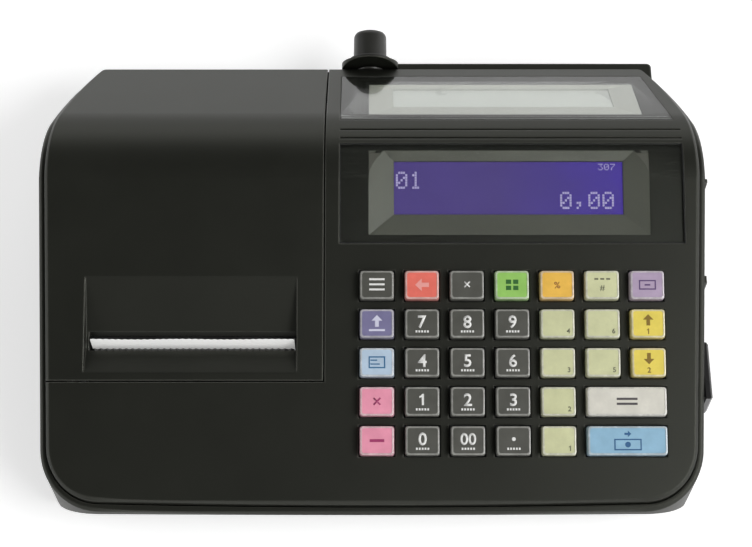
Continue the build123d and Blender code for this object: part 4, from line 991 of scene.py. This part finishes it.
def display_text(name, lines, material, turn, place_of, dot_size):
    """Dot-matrix figures: lines of (text, left, top, pitch across, pitch along the deck)."""
    for number, (text, x, t, pitch_x, pitch_t) in enumerate(lines):
        points = []
        for position, character in enumerate(text):
            for row, cells in enumerate(DOTS[character]):
                for column, cell in enumerate(cells):
                    if cell == "1":
                        points.append(place_of(x + (position * 6 + column + 0.5) * pitch_x,
                                               t - (row + 0.5) * pitch_t))
        more, sides = plate(rectangle(0, 0, dot_size * pitch_x, dot_size * pitch_t), VIEW_SHEET)
        dot = mesh_object("dot", more, sides)
        spread_copies(f"{name}_{number}", points, dot, turn, material)


class REGISTER_OT_displays(bpy.types.Operator):
    """Build the slanted bezels, the lit display and its figures"""
    bl_idname = "register.displays"
    bl_label = "Displays"

    def execute(self, context):
        looks = context.scene.register_displays
        x0, x1 = VIEW_X - VIEW_WIDTH / 2, VIEW_X + VIEW_WIDTH / 2
        view = join_flat("operator_view", [rectangle(0, 0, VIEW_WIDTH, VIEW_LENGTH)], VIEW_SHEET,
                         deck_place(VIEW_X, VIEW_T, VIEW_LOW), lit_display(looks))
        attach(view, "base")
        share = looks.dot_size / looks.dot_pitch
        display_text("operator_figures", [
            ("01", 9.4 * MM, 129.9 * MM, looks.dot_pitch, looks.dot_rise),
            ("0,00", 74.4 * MM, 121.8 * MM, looks.dot_pitch, looks.dot_rise),
            ("307", 89.6 * MM, 133.0 * MM, 0.4 * MM, 0.37 * MM)], display_dots(looks),
            (DECK_SLOPE, 0.0, 0.0), lambda x, t: deck_point(x, t, VIEW_LOW + 0.06 * MM), share)
        self.customer_side(looks, x0, x1)
        self.corner_films(tuple(looks.bezel))
        self.lens_gap_shades()
        return {"FINISHED"}

    def customer_side(self, looks, x0, x1):
        """The customer's display is unlit, pale and nearer its lens."""
        left, right = WINDOW_LEFT + 0.1 * MM, WINDOW_RIGHT - 0.1 * MM
        top = -LENS_THICKNESS - 0.1 * MM
        u0, u1 = ((LID_FRONT + y - CROWN_END.y) / math.cos(REAR_SLOPE) + inset
                  for y, inset in zip(REAR_WINDOW, (0.2 * MM, -0.2 * MM)))
        v0, v1 = REAR_VIEW_U - VIEW_LENGTH / 2, REAR_VIEW_U + VIEW_LENGTH / 2
        outer = [rear_point(x, u, top) for x, u in ((left, u0), (right, u0), (right, u1),
                                                    (left, u1))]
        inner = [rear_point(x, u, REAR_BEZEL_LOW) for x, u in ((x0, v0), (x1, v0), (x1, v1),
                                                               (x0, v1))]
        back = Vector((0, 0, -0.04 * MM))
        ring("customer_bezel", [outer, inner, [p + back for p in inner], [p + back for p in outer]],
             bezel_finish("customer bezel", tuple(looks.customer)))
        unlit = smooth_plastic("unlit display", tuple(looks.unlit), 0.3, 0.0, 0.0002)
        view = join_flat("customer_view", [rectangle(0, 0, VIEW_WIDTH, VIEW_LENGTH)], VIEW_SHEET,
                         rear_place(VIEW_X, REAR_VIEW_U, REAR_VIEW_LOW), unlit)
        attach(view, "base")

    def corner_films(self, base):
        """Films on the lens's back that carry the bezel's rear corners out to the window."""
        finish = bezel_finish("bezel film", base)
        steps = 12
        for side, edge, turn in (("left", WINDOW_LEFT, 1.0), ("right", WINDOW_RIGHT, -1.0)):
            loops = []
            for level in FILM_LEVELS:
                outer, inner = [], []
                for step in range(steps + 1):
                    past = FILM_LENGTH * step / steps
                    y = (DECK_LENGTH + past) * math.cos(DECK_SLOPE)
                    drop = CROWN_RADIUS - math.sqrt(CROWN_RADIUS ** 2 - past ** 2)
                    outer.append(lid_point(edge, y, level))
                    inner.append(lid_point(edge + turn * (0.1 * MM + drop * WALL_RUN), y, level))
                loops.append((outer, inner))
            (top_out, top_in), (low_out, low_in) = loops
            points = [*top_out, *top_in, *low_out, *low_in]
            count = steps + 1
            faces = [(0, count, 3 * count, 2 * count),
                     (steps, 2 * count + steps, 3 * count + steps, count + steps)]
            for i in range(steps):
                faces += [(i, i + 1, count + i + 1, count + i),
                          (2 * count + i, 3 * count + i, 3 * count + i + 1, 2 * count + i + 1),
                          (i, 2 * count + i, 2 * count + i + 1, i + 1),
                          (count + i, count + i + 1, 3 * count + i + 1, 3 * count + i)]
            film = mesh_object("bezel_film_" + side, points, faces, [finish])
            tidy(film)
            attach(film, "base")

    def lens_gap_shades(self):
        """Painted shade: a dark band in the edge of each lens for the shaded gap round it."""
        gap_shade = smooth_plastic("lens seam", colour("060606"), 0.6)
        for name, corners in LENS_GAP_SHADES.items():
            self.seam(name, gap_shade, corners)

    def seam(self, name, material, corners):
        """Thin band under a lens's surface along four corners, given in millimetres."""
        width, steps = 0.4, 24
        middle_x = sum(x for x, y in corners) / 4
        middle_y = sum(y for x, y in corners) / 4
        inner = [(x + math.copysign(width, middle_x - x), y + math.copysign(width, middle_y - y))
                 for x, y in corners]
        loops = []
        for outline, n in ((corners, -0.02), (inner, -0.02), (inner, -0.3), (corners, -0.3)):
            loop = []
            for (x0, y0), (x1, y1) in zip(outline, outline[1:] + outline[:1]):
                for step in range(steps):
                    share = step / steps
                    loop.append(lid_point((x0 + (x1 - x0) * share) * MM,
                                          (y0 + (y1 - y0) * share) * MM, n * MM))
            loops.append(loop)
        ring(name, loops, material)


# ---------------------------------------------------------------- paper
PAPER_CENTRE = -70.0 * MM
PAPER_WIDTH = 79.5 * MM
PAPER_STAND = 0.45 * MM        # middle of the paper outside the roll and the platen
PAPER_THICKNESS = 0.12 * MM
TORN_TOOTH = 0.45 * MM
TORN_WAVE = 0.25 * MM


class REGISTER_OT_paper(bpy.types.Operator):
    """Build the paper from the roll to its torn end in the slot"""
    bl_idname = "register.paper"
    bl_label = "Paper"

    def execute(self, context):
        roll_y, roll_z = LID_FRONT + ROLL_DEPTH, ROLL_HEIGHT
        roll_radius, platen_radius = 25.0 * MM + PAPER_STAND, 5.5 * MM + PAPER_STAND
        low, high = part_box("platen_shaft")
        platen_y, platen_z = (low[1] + high[1]) / 2, (low[2] + high[2]) / 2
        run = math.hypot(roll_y - platen_y, roll_z - platen_z)
        start = -math.pi / 2 - math.asin((roll_radius - platen_radius) / run)
        line = []
        for y, z, radius, first, last, count in (
                (roll_y, roll_z, roll_radius, start + 0.9, start, 8),
                (platen_y, platen_z, platen_radius, start, -math.pi, 16)):
            for number in range(count + 1):
                angle = first + (last - first) * number / count
                line.append((y + radius * math.cos(angle), z + radius * math.sin(angle)))
        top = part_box("paper_web")[1][2]
        for number in range(1, 9):
            line.append((platen_y - platen_radius, platen_z + (top - platen_z) * number / 8))
        columns = 128
        vertices, faces = [], []
        for number, (y, z) in enumerate(line):
            for column in range(columns + 1):
                x = PAPER_CENTRE + PAPER_WIDTH * (column / columns - 0.5)
                tooth = 0.0
                if number == len(line) - 1:
                    tooth = abs((column % 4) - 2) / 2 * TORN_TOOTH
                    tooth += TORN_WAVE * (1 - math.cos(column * 0.11))
                vertices.append((x, y, z - tooth))
        for row in range(len(line) - 1):
            for column in range(columns):
                a = row * (columns + 1) + column
                faces.append((a, a + 1, a + columns + 2, a + columns + 1))
        strip = mesh_object("paper_strip", vertices, faces, [shared("paper", paper_finish)])
        thick = strip.modifiers.new("Thickness", "SOLIDIFY")
        thick.thickness = PAPER_THICKNESS
        thick.offset = 0.0
        keep_built(strip)
        tidy(strip)
        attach(strip, "base")
        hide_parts("paper_web")
        return {"FINISHED"}


# ---------------------------------------------------------------- knob, feet, screws, sockets
KNOB_X = -0.8 * MM
KNOB_STAND = 1.0 * MM          # behind the lid's rear edge
KNOB_HEIGHT = 32.0 * MM
KNOB_TILT = math.radians(15.0)
# Places in millimetres across and behind the lid's front edge.
FOOT_PLACES = ((100.0, 32.0), (96.0, 172.0))
SCREW_PLACES = ((-113.0, 17.0), (120.0, 19.0), (117.0, 158.0), (-10.0, 152.0))
SCREW_END_DROP = 8.8 * MM      # tips of the screws below the lid's surface
SOCKET_CONTACTS = ((66.0, 8), (38.0, 6))
CONTACT_PITCH = 1.02           # millimetres


class REGISTER_OT_fittings(bpy.types.Operator):
    """Build the rear knob, feet, screw heads and socket contacts"""
    bl_idname = "register.fittings"
    bl_label = "Fittings"

    def execute(self, context):
        self.knob()
        self.feet()
        self.screws()
        self.contacts()
        return {"FINISHED"}

    def knob(self):
        """Rear knob with a domed end, its skirt, shaft and front hub."""
        place = (Matrix.Translation((KNOB_X, LID_FRONT + LID_DEPTH + KNOB_STAND, KNOB_HEIGHT))
                 @ Matrix.Rotation(KNOB_TILT - math.pi / 2, 4, "X"))
        profile = [(0, -0.9), (5.4, -0.9), (5.85, -0.75), (6.0, -0.4), (6.0, -0.08), (3.0, -0.08),
                   (3.0, 3.2), (8.5, 3.2), (8.9, 3.35), (9.0, 3.7), (9.0, 4.6), (8.8, 4.95),
                   (8.3, 5.15), (7.4, 5.2), (7.15, 5.4), (7.1, 5.9), (7.0, 14.5), (6.75, 15.5),
                   (6.1, 16.35), (4.9, 16.85), (3.0, 17.1), (0, 17.2)]
        made = lathe("knob_turned", profile, place,
                     smooth_plastic("knob plastic", colour("30302d"), 0.36, 0.0, 0.0003), 64)
        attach(made, "knob")
        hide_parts("rear_knob")

    def feet(self):
        """Rubber feet with a rounded lower edge and a dished sole."""
        profile = [(0, 0.35), (4.6, 0.35), (5.3, 0.1), (5.9, 0.0), (6.5, 0.12), (6.9, 0.5),
                   (7.0, 1.1), (6.9, 2.98), (0, 2.98)]
        finish = rubber("foot rubber", colour("151515"))
        foot = lathe("foot", profile, Matrix.Identity(4), finish, 32)
        places = [(side * x * MM, LID_FRONT + y * MM, 0.0) for x, y in FOOT_PLACES
                  for side in (-1, 1)]
        made = spread_copies("feet", places, foot, (0.0, 0.0, 0.0), finish)
        tidy(made)
        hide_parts("rubber_feet")

    def screws(self):
        """Cross-head screws seen in the pockets of the base."""
        finish = brushed_steel("screw steel", (0.5, 0.5, 0.52), 0.35, (1.0, 1.0, 1.0))
        profile = [(0, 6.05), (1.3, 6.0), (2.3, 6.25), (2.75, 6.8), (2.8, 8.0), (0, 8.0)]
        head = lathe("screw", profile, Matrix.Identity(4), finish, 24)
        cutter = join_flat("cross", [rectangle(0, 0, 3.0 * MM, 0.6 * MM),
                                     rectangle(0, 0, 0.6 * MM, 3.0 * MM)], 2.0 * MM,
                           Matrix.Translation((0, 0, 5.2 * MM)), finish)
        cut = head.modifiers.new("Cross", "BOOLEAN")
        cut.object = cutter
        cut.solver = "EXACT"
        keep_built(head)
        bpy.data.objects.remove(cutter)
        places = [(x * MM, LID_FRONT + y * MM, 0.0) for x, y in SCREW_PLACES]
        heads = spread_copies("screw_heads", places, head, (0.0, 0.0, 0.0), finish)
        work = bmesh.new()
        work.from_mesh(heads.data)
        for x, y, _ in places:
            end = (lid_point(x, y - LID_FRONT, 0).z - SCREW_END_DROP) / MM
            profile = [(0, 8.0), (1.3, 8.0), (1.3, end - 0.8), (0, end)]
            shank = lathe("shank", profile, Matrix.Translation((x, y, 0)), finish, 16)
            work.from_mesh(shank.data)
            bpy.data.objects.remove(shank)
        work.to_mesh(heads.data)
        work.free()
        tidy(heads)
        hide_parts("case_screws")

    def contacts(self):
        """Sprung contacts along the bottom of the two plug sockets."""
        finish = brushed_steel("contact gold", (0.75, 0.55, 0.2), 0.25, (1.0, 0.1, 1.0))
        more, sides = plate(rectangle(0, 0, 0.35 * MM, 7.0 * MM), 0.35 * MM)
        wire = mesh_object("wire", more, sides)
        places = []
        for middle, count in SOCKET_CONTACTS:
            for number in range(count):
                x = middle + (number - (count - 1) / 2) * CONTACT_PITCH
                places.append((x * MM, LID_FRONT + LID_DEPTH - 2.5 * MM, 20.2 * MM))
        spread_copies("socket_contacts", places, wire, (math.radians(-14.0), 0.0, 0.0), finish)


# ---------------------------------------------------------------- finishes of the CAD nodes
# Where the walls round the operator's view lie, in millimetres along the deck and above it.
BEZEL_FRONT, BEZEL_REAR = 103.7, 138.0
BEZEL_LOW, BEZEL_TOP = -4.75, -1.25
LENS_SEAT_FRONT = 126.0


class REGISTER_OT_finishes(bpy.types.Operator):
    """Give every remaining node of the model its finish"""
    bl_idname = "register.finishes"
    bl_label = "Finishes"

    def execute(self, context):
        looks = context.scene.register_case
        case = moulded_plastic("case plastic", tuple(looks.case), looks.grain, looks.edge)
        cover = moulded_plastic("cover plastic", tuple(looks.cover), looks.grain, looks.edge)
        finishes = {
            "lower_case": case, "upper_case": case, "printer_cover": cover,
            "tear_bar": brushed_steel("tear bar steel", (0.09, 0.09, 0.09), 0.4),
            "operator_lens": shared("lens", clear_lens),
            "customer_lens": shared("lens", clear_lens),
            "operator_lcd": smooth_plastic("display frame", colour("23231f"), 0.4),
            "customer_lcd": smooth_plastic("customer frame", colour("8f8f88"), 0.4),
            "keyboard_board": circuit_board("keyboard board"),
            "main_board": circuit_board("main board"),
            "key_mat": rubber("mat rubber", colour("5b5d60"), 0.6),
            "rear_ports": smooth_plastic("socket plastic", colour("121213"), 0.35),
            "printer_frame": smooth_plastic("printer plastic", colour("4d4e50"), 0.45),
            "print_head": brushed_steel("head aluminium", (0.62, 0.62, 0.6), 0.4),
            "head_springs": brushed_steel("spring steel", (0.55, 0.55, 0.55), 0.25),
            "platen_roller": rubber("platen rubber", colour("1a1a1b"), 0.55, 0.0004),
            "platen_shaft": smooth_plastic("gear plastic", colour("dcdcd2"), 0.4),
            "idler_gear": smooth_plastic("idler plastic", colour("e0dfd4"), 0.4),
            "motor_pinion": brushed_steel("pinion brass", (0.72, 0.55, 0.25), 0.3),
            "feed_motor": brushed_steel("motor steel", (0.45, 0.46, 0.47), 0.4),
            "paper_roll": rolled_paper(LID_FRONT + ROLL_DEPTH, ROLL_HEIGHT),
            "power_switch_housing": smooth_plastic("switch plastic", colour("2c2c2c"), 0.25, 0.3),
            "power_rocker": smooth_plastic("rocker plastic", colour("131314"), 0.2, 0.4),
        }
        for name, finish in finishes.items():
            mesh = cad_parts[name].data
            mesh.materials.clear()
            mesh.materials.append(finish)
        self.bezel(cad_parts["upper_case"].data, tuple(context.scene.register_displays.bezel))
        missing = [n for n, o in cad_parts.items()
                   if n not in finishes and not o.hide_render]
        if missing:
            raise RuntimeError(f"these nodes have no finish: {missing}")
        return {"FINISHED"}

    def bezel(self, mesh, base):
        """Gives the sloping walls round the operator's view their own finish."""
        mesh.materials.append(bezel_finish("display bezel", base))
        origin = deck_point(0, 0, 0)
        up = deck_point(0, 0, 1) - origin
        back = deck_point(0, 1, 0) - origin
        for face in mesh.polygons:
            place = face.center - origin
            along, height = place.dot(back) / MM, place.dot(up) / MM
            in_window = (WINDOW_LEFT < face.center.x < WINDOW_RIGHT
                         and BEZEL_FRONT < along < BEZEL_REAR
                         and BEZEL_LOW < height < BEZEL_TOP)
            lens_seat = (along > LENS_SEAT_FRONT and abs(face.normal.x) < 0.1
                         and face.normal.dot(back) > 0.0)
            if in_window and not lens_seat and 0.5 < face.normal.dot(up) < 0.995:
                face.material_index = 1


# ---------------------------------------------------------------- stage
# Lamps as name, place, width and height.
LAMPS = (("left", (-1.2, -0.1, 0.65), 0.9, 0.7), ("right", (0.85, -0.5, 1.05), 0.8, 0.6),
         ("rear", (0.0, 1.3, 0.8), 1.6, 0.6), ("front", (0.0, -1.1, 0.8), 1.6, 0.5))
LAMP_TARGET = (0.0, 0.0, 0.04)
CAMERA_SHIFT = 4.0 / 752.0     # share of the picture's width
AIM_DEPTH = 84.04 * MM         # point on the deck that the camera is turned to
AIM_HEIGHT = 61.306 * MM


def floor_finish():
    """Pale floor that looks white from above and keeps the object's shadow."""
    made = Finish("pale floor")
    clouds = made.noise(0.5, 2.0)
    made.set(base_color=made.blend(made.between(clouds, 0.0, 1.0), (0.86, 0.86, 0.86),
                                   (0.88, 0.88, 0.88)), roughness=0.6)
    path = made.node("ShaderNodeLightPath").outputs
    mirrored = made.math("MAXIMUM", path["Is Glossy Ray"], path["Is Transmission Ray"])
    faint = made.math("MULTIPLY", mirrored, 0.4)
    seen = made.math("MULTIPLY", path["Is Camera Ray"], 0.5)
    made.set(emission_color=(1.0, 1.0, 1.0), emission_strength=made.math("MAXIMUM", seen, faint))
    return made.done()


def lamp(name, place, target, power, width, height):
    """Soft rectangular lamp aimed at a point."""
    data = bpy.data.lights.new(name, "AREA")
    data.shape = "RECTANGLE"
    data.size, data.size_y = width, height
    data.energy = power
    made = linked(name, data)
    made.location = place
    made.rotation_euler = (Vector(target) - Vector(place)).to_track_quat("-Z", "Y").to_euler()


class REGISTER_OT_stage(bpy.types.Operator):
    """Set up the floor, the surroundings, the lamps and the camera"""
    bl_idname = "register.stage"
    bl_label = "Stage"

    def surroundings(self, looks):
        """World that is white low down and dark overhead, and white where it is seen."""
        world = bpy.data.worlds.new("surroundings")
        world.use_nodes = True
        sky = Nodes(world.node_tree)
        direction = sky.node("ShaderNodeTexCoord").outputs["Generated"]
        split = sky.node("ShaderNodeSeparateXYZ", vector=direction).outputs
        across = sky.between(split["X"], looks.horizon * 0.5, looks.horizon * 1.25, -1.0, 1.0)
        fade = sky.between(split["Z"], across, looks.zenith, 0.1, 0.85, "SMOOTHSTEP")
        path = sky.node("ShaderNodeLightPath").outputs
        bounces = sky.math("ADD", path["Diffuse Depth"], path["Glossy Depth"])
        through = sky.math("MULTIPLY", path["Is Transmission Ray"],
                           sky.math("LESS_THAN", bounces, 0.5))
        seen = sky.math("MAXIMUM", path["Is Camera Ray"], through)
        background = next(n for n in sky.nodes if n.type == "BACKGROUND")
        sky.feed(background.inputs["Color"], (1.0, 1.0, 1.0))
        sky.feed(background.inputs["Strength"], sky.between(seen, fade, 1.0, 0.0, 1.0))
        return world

    def execute(self, context):
        looks = context.scene.register_stage
        scene = context.scene
        floor = mesh_object("floor", [(-6, -6, 0), (6, -6, 0), (6, 6, 0), (-6, 6, 0)],
                            [(0, 1, 2, 3)], [floor_finish()])
        scene.world = self.surroundings(looks)
        for name, place, width, height in LAMPS:
            lamp(name + " lamp", place, LAMP_TARGET, getattr(looks, name + "_power"), width,
                 height)
        data = bpy.data.cameras.new("camera")
        data.sensor_width = 36.0
        data.lens = looks.focal
        data.shift_x = CAMERA_SHIFT
        data.clip_start = 0.01
        camera = linked("camera", data)
        aim = Vector((0.0, LID_FRONT + AIM_DEPTH, AIM_HEIGHT))
        camera.location = aim + looks.distance * Vector(
            (0, -math.cos(looks.elevation), math.sin(looks.elevation)))
        camera.rotation_euler = (math.pi / 2 - looks.elevation, 0.0, 0.0)
        scene.camera = camera
        scene.view_settings.view_transform = "Standard"
        return {"FINISHED"}


# ---------------------------------------------------------------- panel and start
SETTINGS = {
    "register_case": RegisterCaseSettings, "register_keys": RegisterKeySettings,
    "register_displays": RegisterDisplaySettings, "register_stage": RegisterStageSettings,
}
OPERATORS = (REGISTER_OT_keys, REGISTER_OT_displays, REGISTER_OT_paper, REGISTER_OT_fittings,
             REGISTER_OT_finishes, REGISTER_OT_stage)


class REGISTER_PT_panel(bpy.types.Panel):
    """Lists the register's pieces and their settings"""
    bl_idname = "REGISTER_PT_panel"
    bl_label = "Ticket Register"
    bl_space_type = "VIEW_3D"
    bl_region_type = "UI"
    bl_category = "Register"

    def draw(self, context):
        for operator in OPERATORS:
            self.layout.operator(operator.bl_idname)
        for name, group in SETTINGS.items():
            box = self.layout.box()
            for key in group.__annotations__:
                box.prop(getattr(context.scene, name), key)


def register():
    """Registers the classes and the settings."""
    for group in SETTINGS.values():
        bpy.utils.register_class(group)
    for name, group in SETTINGS.items():
        setattr(bpy.types.Scene, name, PointerProperty(type=group))
    for kind in (*OPERATORS, REGISTER_PT_panel):
        bpy.utils.register_class(kind)


def unregister():
    """Takes the classes and the settings away again."""
    for kind in reversed((*OPERATORS, REGISTER_PT_panel)):
        bpy.utils.unregister_class(kind)
    for name, group in SETTINGS.items():
        delattr(bpy.types.Scene, name)
        bpy.utils.unregister_class(group)


def main():
    """Builds the pieces in order."""
    register()
    bpy.ops.register.keys()
    bpy.ops.register.displays()
    bpy.ops.register.paper()
    bpy.ops.register.fittings()
    bpy.ops.register.finishes()
    bpy.ops.register.stage()


if __name__ == "__main__":
    main()
